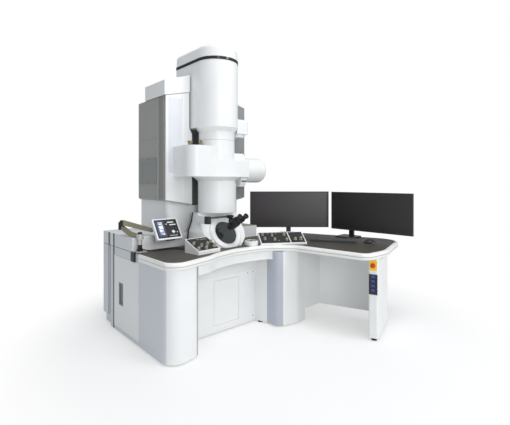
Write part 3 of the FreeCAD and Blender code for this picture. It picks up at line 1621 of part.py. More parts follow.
def control_unit(name, width, corner_x, corner_y, turn, front):
    """The case and the plate of one unit, in place."""
    rise = unit_depth * sine(unit_slope) / cosine(unit_slope)
    profile = [
        (0, unit_base),
        (unit_depth, unit_base),
        (unit_depth, unit_base + front + rise),
        (0, unit_base + front),
    ]
    case = prism(name + "_wedge", "YZ", 0, profile, width, [(5, [3])])
    unit_place(case, corner_x, corner_y, turn)
    length = unit_depth / cosine(unit_slope)
    recess = box(name + "_recess", (0, 0, 0), (width - unit_rim * 2, length - unit_rim * 2, 20))
    slope_place(recess, corner_x, corner_y, turn, front, unit_rim, unit_rim, -plate_sink)
    plate = box(name + "_plate", (0, 0, 0), (width - unit_rim * 2, length - unit_rim * 2, plate_sink + 1))
    slope_place(plate, corner_x, corner_y, turn, front, unit_rim, unit_rim, -plate_sink)
    return cut(name + "_case", case, recess), plate


def knob(name, radius, height, corner_x, corner_y, turn, front, x, y):
    """A stepped knob: a skirt, a barrel and a bevelled top."""
    profile = [
        (0, 1),
        (radius, 1),
        (radius, 4),
        (radius * 0.8, 5.5),
        (radius * 0.74, height - 1.5),
        (radius * 0.64, height),
        (0, height),
    ]
    return slope_place(lathe(name, profile), corner_x, corner_y, turn, front, x, y)


left_corner = (left_unit_x, left_unit_y, left_unit_turn, left_unit_front)
right_corner = (right_unit_x, right_unit_y, right_unit_turn, right_unit_front)
left_case, left_plate = control_unit("left_unit", left_unit_width, *left_corner)
left_knobs = [
    (28, 104, 12), (22, 30, 14), (76, 66, 13), (98, 30, 13), (144, 78, 14), (196, 100, 12),
]
left_pieces = []
for i, (x, y, radius) in enumerate(left_knobs):
    left_pieces.append(knob("left_knob_%d" % i, radius, knob_height, *left_corner, x, y))
left_key = box("left_key", (0, 0, 0), (28, 9, 4))
left_pieces.append(slope_place(left_key, *left_corner, 86, 146))
left_screen = box("left_display", (0, 0, 0), (62, 14, 3))
left_pieces.append(slope_place(left_screen, *left_corner, 124, 143))
chamber_room = rod("chamber_room", (0, 0, desk_top), chamber_belly + left_unit_gap, 200)
ring_room = on_window(rod("ring_room", (0, 0, 0), window_ring_radius + 2, 60), -window_ring_thickness - 4)
left_blank = fuse("left_controls", left_case, left_plate, *left_pieces)
node("left_control_unit", cut("left_controls_cut", left_blank, chamber_room, ring_room))
main_knob_radius = size("main_knob_radius", 15)
doc.recompute()
node("left_main_knob", knob("left_big_knob", main_knob_radius, 26, *left_corner, 188, 40))

right_case, right_plate = control_unit("right_unit", right_unit_width, *right_corner)
right_knobs = [
    (35, 133, 12), (46, 68, 14), (120, 121, 14), (134, 56, 14), (232, 125, 14), (241, 51, 13), (322, 55, 14),
]
right_pieces = []
for i, (x, y, radius) in enumerate(right_knobs):
    right_pieces.append(knob("right_knob_%d" % i, radius, knob_height, *right_corner, x, y))
for i, (x, y) in enumerate([(40, 153), (77, 152), (156, 149), (162, 38)]):
    key = box("right_key_%d" % i, (0, 0, 0), (16, 9, 4))
    right_pieces.append(slope_place(key, *right_corner, x, y))
divider = box("right_divider", (0, 0, 0), (5, 160, 3))
right_pieces.append(slope_place(divider, *right_corner, 270, 12))
node("right_control_unit", fuse("right_controls", right_case, right_plate, *right_pieces))
node("right_main_knob", knob("right_big_knob", main_knob_radius, 26, *right_corner, 372, 54))

# Round knob unit beside the viewing chamber
dish_profile = [
    (0, unit_base),
    (54, unit_base),
    (58, unit_base + 12),
    (58, unit_base + 38),
    (52, unit_base + 44),
    (47, unit_base + 39),
    (0, unit_base + 39),
]
node("knob_unit", place(lathe("dish", dish_profile, [(4, [2, 3])]), (dish_x, dish_y, 0)))

# Keyboard with its rows of keys, and the mouse
keyboard_profile = [
    (0, unit_base),
    (keyboard_depth, unit_base),
    (keyboard_depth, unit_base + 24),
    (keyboard_depth - 10, unit_base + 26),
    (0, unit_base + 12),
]
key_case = prism("key_case", "YZ", 0, keyboard_profile, keyboard_width, [])
key_pitch = size("key_pitch", 19)
doc.recompute()
key_rows = []
slant = math.degrees(math.atan2(14, float(keyboard_depth) - 10))
for row in range(6):
    y = 8 + row * 19.2
    height = 12 + y * 14 / (float(keyboard_depth) - 10)
    columns = 15 if row else 1
    for column in range(21 if row else 0):
        if column in (15, 16) and row == 5:
            continue
        key = box("key_%d_%d" % (row, column), (0, 0, 0), (key_pitch - 3, 15, 5))
        key_rows.append(place(key, (6 + key_pitch * column, y, unit_base + height - 1), 0, (0, 0, 1), slant, (1, 0, 0)))
space = box("space_bar", (0, 0, 0), (key_pitch * 6, 15, 5))
place(space, (80, 8, unit_base + 12), 0, (0, 0, 1), slant, (1, 0, 0))
keyboard = fuse("keyboard_all", key_case, space, *key_rows)
node("keyboard", place(keyboard, (keyboard_x, keyboard_y, 0), keyboard_turn))


def mouse_shape():
    """A low rounded shell lofted through three upright sections."""
    wires = []
    for share, half, top in ((0.0, 0.7, 0.45), (0.3, 1.0, 0.95), (0.65, 0.94, 1.0), (1.0, 0.6, 0.4)):
        x = float(mouse_length) * share
        w = float(mouse_width) / 2 * half
        h = float(mouse_height) * top
        low = FreeCAD.Vector(x, -w, 0)
        high = FreeCAD.Vector(x, w, 0)
        arc = Part.Arc(low, FreeCAD.Vector(x, 0, h), high).toShape()
        wires.append(Part.Wire([arc, Part.LineSegment(high, low).toShape()]))
    return Part.makeLoft(wires, True)


mouse = feature("mouse_shell", mouse_shape())
node("mouse", place(mouse, (mouse_x, mouse_y, unit_base), -62))


# Monitors: a thin framed panel with a deeper back, tilting on its stand
def monitor(name, x, y, turn, neck_shift):
    """The panel and the stand of one monitor, each in place."""
    width = screen_width
    front = box(
        name + "_front",
        (-width / 2, -screen_edge, screen_sill),
        (width / 2, 0, screen_sill + screen_height),
    )
    glass_room = box(
        name + "_glass_room",
        (-width / 2 + 9, -screen_edge, screen_sill + 12),
        (width / 2 - 9, -screen_edge + 1.5, screen_sill + screen_height - 9),
    )
    back_points = [
        (0, screen_sill + 40),
        (screen_body - screen_edge, screen_sill + 90),
        (screen_body - screen_edge, screen_sill + screen_height - 110),
        (0, screen_sill + screen_height - 40),
    ]
    back = prism(name + "_back", "YZ", -width * 0.32, back_points, width * 0.64, [(10, [1, 2])])
    ear_z = screen_sill + screen_height * 0.45
    ear_y = screen_body - screen_edge + 18
    ears = []
    for sign in (-1, 1):
        ear = box(
            "%s_ear_%d" % (name, sign + 1),
            (25 * sign - 6, screen_body - screen_edge - 6, ear_z - 14),
            (25 * sign + 6, ear_y + 12, ear_z + 14),
        )
        ears.append(ear)
    pin_room = rod(name + "_pin_room", (-40, ear_y, ear_z), hinge_radius + run_gap, 80, (1, 0, 0))
    panel = cut(name + "_panel", fuse(name + "_blank", front, back, *ears), glass_room, pin_room)
    place(panel, (x, y, 0), turn)

    neck_y = ear_y + 30
    shift = as_size(neck_shift)
    base_points = [
        (shift - stand_base_width / 2, neck_y - stand_base_depth + 40),
        (shift + stand_base_width / 2, neck_y - stand_base_depth + 40),
        (shift + stand_base_width / 2, neck_y + 40),
        (shift - stand_base_width / 2, neck_y + 40),
    ]
    base = prism(name + "_base", "XY", unit_base, base_points, stand_base_height, [(24, [0, 1, 2, 3])], 4)
    neck = box(
        name + "_neck",
        (shift - stand_neck_width / 2, neck_y, unit_base + stand_base_height - 1),
        (shift + stand_neck_width / 2, neck_y + stand_neck_depth, ear_z + 20),
    )
    bridge = box(
        name + "_bridge",
        (Size(min(shift.number, 0), shift.text) - 18 if shift.number < 0 else as_size(-18), neck_y, ear_z - 20),
        (shift + 18 if shift.number > 0 else as_size(18), neck_y + stand_neck_depth, ear_z + 20),
    )
    tongue = box(name + "_tongue", (-18, ear_y - 10, ear_z - 10), (18, neck_y + 4, ear_z + 10))
    pin = rod(name + "_pin", (-36, ear_y, ear_z), hinge_radius, 72, (1, 0, 0))
    stand = fuse(name + "_stand", base, neck, bridge, tongue, pin)
    place(stand, (x, y, 0), turn)
    return panel, stand


left_panel, left_stand = monitor("left_monitor_", left_screen_x, left_screen_y, left_screen_turn, 0)
node("left_monitor", left_panel)
node("left_monitor_stand", left_stand)
right_panel, right_stand = monitor(
    "right_monitor_", right_screen_x, right_screen_y, right_screen_turn, -neck_offset
)
node("right_monitor", right_panel)
node("right_monitor_stand", right_stand)


# Two leads that lie on the mat between the arm's post and the left control unit
def tube(points, radius):
    """Straight runs joined by tangent arcs, each as large as its two runs allow."""
    corners = [FreeCAD.Vector(*point) for point in points]
    edges = []
    last = corners[0]
    radii = []
    for i in range(1, len(corners) - 1):
        corner = corners[i]
        back = corners[i - 1] - corner
        ahead = corners[i + 1] - corner
        shorter = min(back.Length, ahead.Length)
        back.normalize()
        ahead.normalize()
        turn = math.pi - back.getAngle(ahead)
        bend = 0.45 * shorter / math.tan(turn / 2)
        radii.append(bend)
        reach = bend * math.tan(turn / 2)
        start = corner + back * reach
        end = corner + ahead * reach
        inward = (back + ahead).normalize()
        middle = corner + inward * (bend / math.cos(turn / 2) - bend)
        edges.append(Part.LineSegment(last, start).toShape())
        edges.append(Part.Arc(start, middle, end).toShape())
        last = end
    edges.append(Part.LineSegment(last, corners[-1]).toShape())
    path = Part.Wire(edges)
    first = edges[0]
    direction = (first.Vertexes[1].Point - first.Vertexes[0].Point).normalize()
    section = Part.Wire([Part.makeCircle(radius, corners[0], direction)])
    solid = path.makePipeShell([section], True, True)
    length = sum(edge.Length for edge in edges)
    print("lead length %.1f, smallest bend %.1f" % (length, min(radii)))
    print("volume %.0f, section times length %.0f" % (solid.Volume, math.pi * radius ** 2 * length))
    return solid


lead_radius = size("lead_radius", 3)
doc.recompute()
lead_z = float(unit_base + lead_radius)
rear_lead_points = [
    (-652, 104, lead_z + 14),
    (-636, 103, lead_z + 11),
    (-618, 98, lead_z + 5),
    (-592, 90, lead_z + 1),
    (-560, 86, lead_z),
    (-520, 86, lead_z),
    (-480, 90, lead_z),
    (-440, 88, lead_z),
    (-404, 76, lead_z),
    (-374, 54, lead_z),
    (-350, 24, lead_z),
    (-335, -12, lead_z),
    (-328, -52, lead_z),
    (-325, -92, lead_z),
    (-323.5, -126, lead_z),
    (-322.9, -150.5, lead_z + 2),
]
front_lead_points = [
    (-651, 84, lead_z + 14),
    (-636, 81, lead_z + 11),
    (-618, 74, lead_z + 5),
    (-594, 62, lead_z + 1),
    (-564, 54, lead_z),
    (-530, 54, lead_z),
    (-496, 56, lead_z),
    (-462, 50, lead_z),
    (-430, 36, lead_z),
    (-404, 12, lead_z),
    (-386, -18, lead_z),
    (-375, -52, lead_z),
    (-369, -90, lead_z),
    (-365, -128, lead_z),
    (-362.8, -154.4, lead_z + 2),
]
node("rear_lead", feature("rear_cord", tube(rear_lead_points, lead_radius.number)))
node("front_lead", feature("front_cord", tube(front_lead_points, lead_radius.number)))

doc.recompute()
problems = []
for item in doc.Objects:
    if "Invalid" in item.State or "Error" in item.State:
        problems.append("%s is in state %s" % (item.Label, item.State))
for item in nodes:
    shape = item.Shape
    if shape.isNull() or not shape.isValid() or not shape.Solids:
        problems.append("%s has no valid solid" % item.Label)
if problems:
    raise SystemExit("\n".join(problems))
if len(nodes) > 60:
    raise SystemExit("too many sub-parts: %d" % len(nodes))

os.makedirs("parts", exist_ok=True)
for item in nodes:
    item.Shape.exportStep(os.path.join("parts", item.Label + ".step"))
print("%d sub-parts written" % len(nodes))
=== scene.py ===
"""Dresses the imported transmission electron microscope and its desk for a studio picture."""

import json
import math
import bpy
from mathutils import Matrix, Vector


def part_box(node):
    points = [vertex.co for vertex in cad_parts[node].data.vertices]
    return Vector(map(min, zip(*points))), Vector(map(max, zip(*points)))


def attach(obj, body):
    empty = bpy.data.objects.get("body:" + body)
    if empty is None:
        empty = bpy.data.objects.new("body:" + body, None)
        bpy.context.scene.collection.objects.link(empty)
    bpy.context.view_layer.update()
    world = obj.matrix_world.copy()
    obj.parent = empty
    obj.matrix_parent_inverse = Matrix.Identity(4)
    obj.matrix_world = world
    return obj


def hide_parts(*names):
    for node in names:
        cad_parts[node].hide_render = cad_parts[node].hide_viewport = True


bl_info = {
    "name": "Electron Microscope Dressing",
    "version": (1, 0, 0),
    "blender": (4, 5, 0),
    "location": "View3D > Sidebar > Microscope",
    "description": "Finishes, trim pieces, leads and studio for the packed electron microscope",
    "category": "Object",
}

import bmesh
import bpy
import numpy as np
from mathutils import Vector

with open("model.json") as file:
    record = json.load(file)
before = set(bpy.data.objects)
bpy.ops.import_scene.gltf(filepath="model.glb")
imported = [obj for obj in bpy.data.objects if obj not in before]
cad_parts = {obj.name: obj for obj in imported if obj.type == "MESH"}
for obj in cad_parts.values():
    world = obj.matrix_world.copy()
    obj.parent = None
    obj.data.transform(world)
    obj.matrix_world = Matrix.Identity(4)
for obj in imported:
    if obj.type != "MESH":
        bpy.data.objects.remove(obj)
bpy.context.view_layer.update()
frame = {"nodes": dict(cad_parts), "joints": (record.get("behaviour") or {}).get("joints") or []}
nodes = frame["nodes"]
joints = {joint["name"]: joint for joint in frame["joints"]}
MM = 0.001


def tone(red, green, blue):
    """A display colour from 0 to 255 as the linear colour that Blender works in."""
    share = np.array([red, green, blue]) / 255
    linear = np.where(share <= 0.04045, share / 12.92, ((share + 0.055) / 1.055) ** 2.4)
    return tuple(float(x) for x in linear)


class MicroscopeColours(bpy.types.PropertyGroup):
    """The paints and plastics that a user may change."""

    def colour(label, text, default):
        return bpy.props.FloatVectorProperty(
            name=label, description=text, default=default, size=3, min=0, max=1, subtype="COLOR"
        )

    white_paint: colour("White paint", "Powder coat of column, tower and desk panels", tone(229, 231, 231))
    side_grey: colour("Side grey", "Paint of the tower's side panels", tone(150, 152, 148))
    mat_dark: colour("Mat", "Soft desk mat", tone(70, 66, 59))
    # Painted shade: the pillar panel's blue-grey stands for shade on its left face.
    pillar_shade_blue: colour("Accent", "Blue-grey panel of the centre pillar", tone(176, 182, 192))
    arm_olive: colour("Arm", "Anodised touch-panel arm", tone(136, 133, 112))
    plate_dark: colour("Control plate", "Dark plates of the control units", tone(38, 36, 38))


class MicroscopeSizes(bpy.types.PropertyGroup):
    """The trim sizes and the camera that a user may change."""

    lens: bpy.props.FloatProperty(
        name="Lens", description="Focal length of the studio camera in millimetres", default=26.4, min=10, max=200
    )
    knob_ribs: bpy.props.IntProperty(
        name="Knob ribs", description="Number of grip ribs round each control knob", default=24, min=6, max=60
    )
    strip_proud: bpy.props.FloatProperty(
        name="Strip height",
        description="How far the tower's trim strips stand out",
        default=0.002,
        min=0.0005,
        max=0.01,
        unit="LENGTH",
    )
    lead_radius: bpy.props.FloatProperty(
        name="Lead radius",
        description="Radius of the two desk leads",
        default=0.003,
        min=0.001,
        max=0.01,
        unit="LENGTH",
    )


def colours():
    return bpy.context.scene.microscope_colours


def sizes():
    return bpy.context.scene.microscope_sizes


# Shader maths


class Signal:
    """A socket that adds up, multiplies and compares like a number."""

    def __init__(self, finish, socket):
        self.finish = finish
        self.socket = socket

    def _maths(self, operation, first, second):
        return self.finish.node("ShaderNodeMath", {"operation": operation}, {0: first, 1: second})

    def __add__(self, other):
        return self._maths("ADD", self, other)

    def __sub__(self, other):
        return self._maths("SUBTRACT", self, other)

    def __rsub__(self, other):
        return self._maths("SUBTRACT", other, self)

    def __mul__(self, other):
        return self._maths("MULTIPLY", self, other)

    def __truediv__(self, other):
        return self._maths("DIVIDE", self, other)

    def __rtruediv__(self, other):
        return self._maths("DIVIDE", other, self)

    __radd__ = __add__
    __rmul__ = __mul__

    def over(self, limit, soft=0.4):
        """0 below the limit and 1 above it, with a soft step of the given width."""
        settings = {"interpolation_type": "SMOOTHSTEP"}
        inputs = {"Value": self, "From Min": limit - soft / 2, "From Max": limit + soft / 2}
        return self.finish.node("ShaderNodeMapRange", settings, inputs)

    def within(self, low, high, soft=0.4):
        """1 between two limits and 0 outside them."""
        return self.over(low, soft) * (1 - self.over(high, soft))


class Shading:
    """The nodes of a material or a world, from an empty tree to its output."""

    def __init__(self, owner, output):
        self.owner = owner
        owner.use_nodes = True
        self.tree = owner.node_tree
        self.tree.nodes.clear()
        self.output = self.tree.nodes.new(output)

    def node(self, kind, settings=None, inputs=None, out=0):
        """Any node: its settings or a ramp's stops first, then the values or links of its sockets."""
        made = self.tree.nodes.new(kind)
        for name, value in (settings or {}).items():
            if name == "stops":
                ramp = made.color_ramp
                for index, (spot, colour) in enumerate(value):
                    stop = ramp.elements[index] if index < 2 else ramp.elements.new(spot)
                    stop.position = spot
                    stop.color = (*colour, 1)
            else:
                setattr(made, name, value)
        for name, value in (inputs or {}).items():
            socket = made.inputs[name]
            if isinstance(value, Signal):
                self.tree.links.new(value.socket, socket)
            elif hasattr(socket.default_value, "__len__") and len(socket.default_value) == 4 and len(value) == 3:
                socket.default_value = (*value, 1)
            else:
                socket.default_value = value
        return Signal(self, made.outputs[out])

    def end(self, shader):
        """The finished material or world, with this shader at its output."""
        self.tree.links.new(shader.socket, self.output.inputs["Surface"])
        return self.owner


class Finish(Shading):
    """A material under construction; its coordinates are the object's own, in millimetres."""

    def __init__(self, name):
        super().__init__(bpy.data.materials.new(name), "ShaderNodeOutputMaterial")
        self.place = self.node("ShaderNodeTexCoord", out="Object")

    def along(self, origin, direction):
        """Distance in millimetres from an origin, in metres, along a direction."""
        moved = self.node("ShaderNodeVectorMath", {"operation": "SUBTRACT"}, {0: self.place, 1: tuple(origin)})
        settings = {"operation": "DOT_PRODUCT"}
        return self.node("ShaderNodeVectorMath", settings, {0: moved, 1: tuple(direction)}, "Value") * 1000

    def axes(self):
        """The three coordinates in millimetres."""
        return [self.along((0, 0, 0), [float(i == j) for j in range(3)]) for i in range(3)]

    def noise(self, scale, detail, stretch=(1, 1, 1)):
        """Clouds or grain, from 0 to 1, drawn out along the axes that the stretch makes small."""
        mapped = self.node("ShaderNodeMapping", None, {"Vector": self.place, "Scale": stretch})
        inputs = {"Vector": mapped, "Scale": scale, "Detail": detail, "Roughness": 0.5}
        return self.node("ShaderNodeTexNoise", None, inputs)

    def mix(self, share, first, second):
        """A colour between two colours."""
        settings = {"data_type": "RGBA"}
        return self.node("ShaderNodeMix", settings, {0: share, 6: first, 7: second}, 2)

    def shade(self, colour, low, high, pattern):
        """The colour, darker and lighter along with a pattern."""
        dark = tuple(c * low for c in colour)
        light = tuple(min(1.0, c * high) for c in colour)
        return self.mix(pattern, dark, light)

    def lay(self, marks, base, roughness):
        """The colour and the roughness with the marks laid over them."""
        for mark in marks:
            mask, colour, rough = mark(self)
            base = self.mix(mask, base, colour)
            roughness = roughness * (1 - mask) + mask * rough
        return base, roughness

    def bump(self, height, strength, distance):
        """Fine relief, drawn in the shading only."""
        return self.node("ShaderNodeBump", None, {"Height": height, "Strength": strength, "Distance": distance})

    def surface(self, **inputs):
        """The finished surface; underscores in the names stand for spaces."""
        named = {name.replace("_", " "): value for name, value in inputs.items()}
        return self.end(self.node("ShaderNodeBsdfPrincipled", None, named))


def paint(name, colour, rough, grain=900, marks=()):
    """Powder coat: fine orange peel, faint clouds and a little uneven gloss, with coloured marks on it."""
    finish = Finish(name)
    clouds = finish.noise(3.5, 4)
    peel = finish.noise(grain, 2)
    base = finish.shade(colour, 0.95, 1.05, clouds)
    base, roughness = finish.lay(marks, base, rough + (clouds - 0.5) * 0.12)
    normal = finish.bump(peel, 0.1, 0.0004)
    return finish.surface(Base_Color=base, Roughness=roughness, Normal=normal, Coat_Weight=0.12)


def plastic(name, colour, rough, metal=0.0, marks=()):
    """Moulded plastic or anodised metal: fine grain, faint wear in the gloss."""
    finish = Finish(name)
    clouds = finish.noise(14, 4)
    grit = finish.noise(1400, 2)
    base = finish.shade(colour, 0.86, 1.14, clouds)
    base, roughness = finish.lay(marks, base, rough + (clouds - 0.5) * 0.2)
    normal = finish.bump(grit, 0.12, 0.0003)
    return finish.surface(Base_Color=base, Roughness=roughness, Metallic=metal, Normal=normal)


def brushed(name, colour, stretch=(1, 1, 60)):
    """Metal with fine lines drawn along one direction."""
    finish = Finish(name)
    lines = finish.noise(220, 3, stretch)
    base = finish.shade(colour, 0.88, 1.1, lines)
    normal = finish.bump(lines, 0.12, 0.0002)
    return finish.surface(Base_Color=base, Roughness=0.32 + lines * 0.16, Metallic=0.9, Normal=normal)


def mat_finish():
    """Soft desk mat: leather-like pebbles with a slight mottling."""
    finish = Finish("desk_mat_leather")
    scatter = finish.node("ShaderNodeTexVoronoi", None, {"Vector": finish.place, "Scale": 420}, "Distance")
    clouds = finish.noise(5, 5)
    base = finish.shade(tuple(colours().mat_dark), 0.82, 1.18, clouds)
    base = finish.mix(scatter * 0.5, base, tuple(c * 1.25 for c in colours().mat_dark))
    normal = finish.bump(scatter, 0.25, 0.0005)
    return finish.surface(Base_Color=base, Roughness=0.46 + clouds * 0.12, Normal=normal)


def edge_finish():
    """White moulded edge: a thin grey line of painted shade lies in the groove between its two bands."""
    finish = Finish("desk_edge_white")
    groove_shade = finish.axes()[2].within(680, 684.5, 0.8)
    clouds = finish.noise(4, 4)
    base = finish.shade(tone(232, 232, 230), 0.97, 1.03, clouds)
    # Painted shade: a thin grey line in the groove between the two bands.
    base = finish.mix(groove_shade * 0.75, base, tone(150, 150, 148))
    normal = finish.bump(finish.noise(900, 2), 0.08, 0.0003)
    return finish.surface(Base_Color=base, Roughness=0.34 + clouds * 0.1, Normal=normal, Coat_Weight=0.15)


def slab_finish():
    """Laminate with a fine fleck."""
    finish = Finish("slab_laminate")
    fleck = finish.noise(260, 3)
    base = finish.shade(tone(196, 196, 190), 0.9, 1.06, fleck)
    return finish.surface(Base_Color=base, Roughness=0.6, Normal=finish.bump(fleck, 0.2, 0.0004))


def glass_finish():
    """Thick dark viewing glass with a faint green depth."""
    finish = Finish("lead_glass")
    clouds = finish.noise(6, 3)
    base = finish.shade(tone(44, 50, 50), 0.8, 1.25, clouds)
    return finish.surface(Base_Color=base, Roughness=0.08 + clouds * 0.05, Coat_Weight=1.0)


def rubber(name, colour):
    """Soft black rubber with a dusty bloom."""
    finish = Finish(name)
    dust = finish.noise(40, 5)
    base = finish.shade(colour, 0.7, 1.5, dust)
    normal = finish.bump(finish.noise(1600, 2), 0.2, 0.0003)
    return finish.surface(Base_Color=base, Roughness=0.62 + dust * 0.2, Normal=normal)


def screen_finish(side, origin, across, half_width):
    """Switched-off screen: dark glass with a painted reflection, a little warmer towards one side and darker on the
    right monitor.
    """
    finish = Finish(side + "_screen_glass")
    # Painted reflection: the glass colour sweeps across the screen from one side to the other.
    share = finish.along(origin, across) / (half_width * 2) + 0.5
    # Painted reflection: the left screen's glass is painted lighter than the right one's.
    light = {"left": 0.95, "right": 0.5}[side]
    first, second = (tuple(c * light for c in colour) for colour in (tone(44, 38, 42), tone(58, 59, 56)))
    base = finish.mix(share, first, second)
    fleck = finish.noise(900, 2)
    return finish.surface(Base_Color=base, Roughness=0.3 + fleck * 0.06, Normal=finish.bump(fleck, 0.04, 0.0002))


# Surfaces worked out with numpy

SHARP_FROM = math.radians(32)


def rounded_outline(half_width, half_height, corner, turns):
    """A rectangle with quarter-circle corners: each corner's centre plus the corner radius along a turning angle."""
    corner = np.clip(corner, 1e-4, min(half_width, half_height) - 1e-4)
    angle = (np.arange(4)[:, None] * 90 + np.linspace(0, 90, turns)[None, :]) * math.pi / 180
    centre_x = np.array([1, -1, -1, 1])[:, None] * (half_width - corner)
    centre_y = np.array([1, 1, -1, -1])[:, None] * (half_height - corner)
    return np.stack([centre_x + corner * np.cos(angle), centre_y + corner * np.sin(angle)], -1).reshape(-1, 2)


def plate(half_width, half_height, thick, corner, bevel, turns=8):
    """A closed rounded plate: outlines stacked from the back's centre round the bevelled rim to the front's centre."""
    full = rounded_outline(half_width, half_height, corner, turns)
    inset = rounded_outline(half_width - bevel, half_height - bevel, corner - bevel, turns)
    rings = [(full * 0, 0), (full, 0), (full, thick - bevel), (inset, thick), (inset * 0, thick)]
    return np.stack([np.column_stack([ring, np.full(len(ring), height)]) for ring, height in rings])


def turned(profile, sides, ribs=0, rib=0.0, rows=()):
    """A turned form: each profile radius swept round its axis, with cosine ribs added on the named rows."""
    profile = np.array(profile, float)
    angle = np.linspace(0, 2 * math.pi, sides, endpoint=False)
    weight = np.isin(np.arange(len(profile)), rows)[:, None]
    radius = profile[:, :1] + weight * rib * np.cos(ribs * angle)[None, :]
    return np.stack([radius * np.cos(angle), radius * np.sin(angle), np.repeat(profile[:, 1:], sides, 1)], -1)


def stand(grid, origin, across, up):
    """Carry a grid from its own x, y and z to an origin and two directions; its z points along their cross product."""
    across = np.array(across, float) / np.linalg.norm(across)
    up = np.array(up, float) / np.linalg.norm(up)
    out = np.cross(across, up)
    return np.array(origin, float) + grid @ np.stack([across, up, out])


def assemble(name, grids, body, finish):
    """Join grids of points, in millimetres, into one closed mesh and let it ride on a body."""
    points, faces, start = [], [], 0
    for grid in grids:
        rows, columns = grid.shape[:2]
        index = start + np.arange(rows * columns).reshape(rows, columns)
        beside = np.roll(index, -1, axis=1)
        quads = np.stack([index[:-1], beside[:-1], beside[1:], index[1:]], axis=-1)
        faces.append(quads.reshape(-1, 4))
        points.append(grid.reshape(-1, 3))
        start += rows * columns
    mesh = bpy.data.meshes.new(name)
    mesh.from_pydata((np.concatenate(points) * MM).tolist(), [], np.concatenate(faces).tolist())
    work = bmesh.new()
    work.from_mesh(mesh)
    bmesh.ops.remove_doubles(work, verts=work.verts, dist=1e-7)
    bmesh.ops.dissolve_degenerate(work, edges=work.edges, dist=1e-8)
    bmesh.ops.recalc_face_normals(work, faces=work.faces)
    work.to_mesh(mesh)
    work.free()
    mesh.polygons.foreach_set("use_smooth", np.ones(len(mesh.polygons), bool))
    mesh.set_sharp_from_angle(angle=SHARP_FROM)
    piece = bpy.data.objects.new(name, mesh)
    bpy.context.scene.collection.objects.link(piece)
    mesh.materials.append(finish)
    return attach(piece, body)


def dress(names, finish):
    """Give CAD nodes a finish."""
    for name in names.split():
        mesh = nodes[name].data
        mesh.materials.clear()
        mesh.materials.append(finish)


def spot(joint):
    """A joint's point in millimetres and its axis."""
    found = joints[joint]
    return np.array(found.get("pos_m", (0, 0, 0)), float) * 1000, np.array(found["axis"], float)


def corners(node):
    """A node's lowest and highest corner in millimetres."""
    low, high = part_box(node)
    return np.array(low) * 1000, np.array(high) * 1000


# Control units, in millimetres across and up their sloping faces, as in the part. The white strip is the
# one round the right unit's divider.
MAIN_KNOBS = {"left": (188, 40), "right": (372, 54)}
UNIT_WIDTHS = {"left": 220, "right": 415}
UNIT_LENGTH = 184.6
UNIT_RIM = 9
WHITE_STRIP = (267.5, 277.5)


def unit_frame(side):
    """Origin and directions of a control unit's sloping face, from where its main knob turns."""
    where, normal = spot(side + "_knob_turn")
    knob_u, knob_v = MAIN_KNOBS[side]
    across = np.array([-normal[1], normal[0], 0]) / math.hypot(normal[0], normal[1])
    uphill = np.cross(normal, across)
    return where - across * knob_u - uphill * knob_v, across, uphill, normal


def unit_finish(side):
    """White case with a dark plate, silver knobs and pale keys on it."""
    origin, across, uphill, normal = unit_frame(side)
    finish = Finish(side + "_unit_case")
    u = finish.along(origin * MM, across)
    v = finish.along(origin * MM, uphill)
    lift = finish.along(origin * MM, normal)
    rim = UNIT_RIM - 0.5
    inside = u.within(rim, UNIT_WIDTHS[side] - rim) * v.within(rim, UNIT_LENGTH - rim)
    if side == "right":
        inside = inside * (1 - u.within(*WHITE_STRIP))
    dark = inside * lift.within(-2, 1.5)
    raised = inside * lift.over(1.7)
    clouds = finish.noise(9, 4)
    base = finish.shade(tone(226, 227, 226), 0.96, 1.03, clouds)
    base = finish.mix(dark, base, tuple(colours().plate_dark))
    base = finish.mix(raised, base, tone(168, 164, 150))
    roughness = 0.42 + clouds * 0.1 - raised * 0.12
    normal_map = finish.bump(finish.noise(1200, 2), 0.12, 0.0003)
    return finish.surface(Base_Color=base, Roughness=roughness, Metallic=raised * 0.7, Normal=normal_map)


# Middle of the touch panel's face, and its directions up the face and out of it
TOUCH_CENTRE = np.array([-459.0, 52.0, 880.0])
TOUCH_LEAN = math.radians(35)
TOUCH_UP = np.array([0, math.sin(TOUCH_LEAN), math.cos(TOUCH_LEAN)])
TOUCH_OUT = np.array([0, -math.cos(TOUCH_LEAN), math.sin(TOUCH_LEAN)])

# Marks: where a second colour lies on a piece. Each gives its mask, its colour and its roughness.


def mark_z(low, high, colour, rough):
    """A level band of another colour."""
    return lambda finish: (finish.axes()[2].within(low, high, 1.5), colour, rough)


def round_about(x, y, centre, reach, soft):
    """1 within a reach of an upright axis and 0 outside it; the soft step is in square millimetres."""
    dx, dy = x - float(centre[0]), y - float(centre[1])
    return 1 - (dx * dx + dy * dy).over(reach * reach, soft)


def rail_mark(finish):
    """Black rail and the front of its block on the chamber's left."""
    x, y, z = finish.axes()
    block = (1 - x.over(-199.5)) * z.over(905) * (1 - y.over(-150))
    rod = z.within(958, 978) * (1 - y.over(-176))
    return 1 - (1 - block) * (1 - rod), tone(34, 34, 36), 0.45


def panel_gap_mark(finish):
    """Dark joint line of the column's middle seam."""
    return finish.axes()[2].within(1621, 1624, 0.8) * 0.5, tone(120, 122, 122), 0.5


def fitting_mark(finish):
    """Brass of the fittings on the drum."""
    x, _, z = finish.axes()
    return z.over(1562.6) * (1 - x.over(-170)), tone(132, 118, 92), 0.35


def bracket_mark(finish):
    """Black stripe across the bracket."""
    x, y, z = finish.axes()
    return x.within(187, 246) * z.within(1262, 1274) * (1 - y.over(10)), tone(40, 38, 38), 0.4


def equipment_mark(finish):
    """Darker equipment plate on the tower's left side."""
    x, y, z = finish.axes()
    return (1 - x.over(-437.6)) * z.within(1243, 1473) * y.over(283) * 0.8, tone(128, 131, 130), 0.35


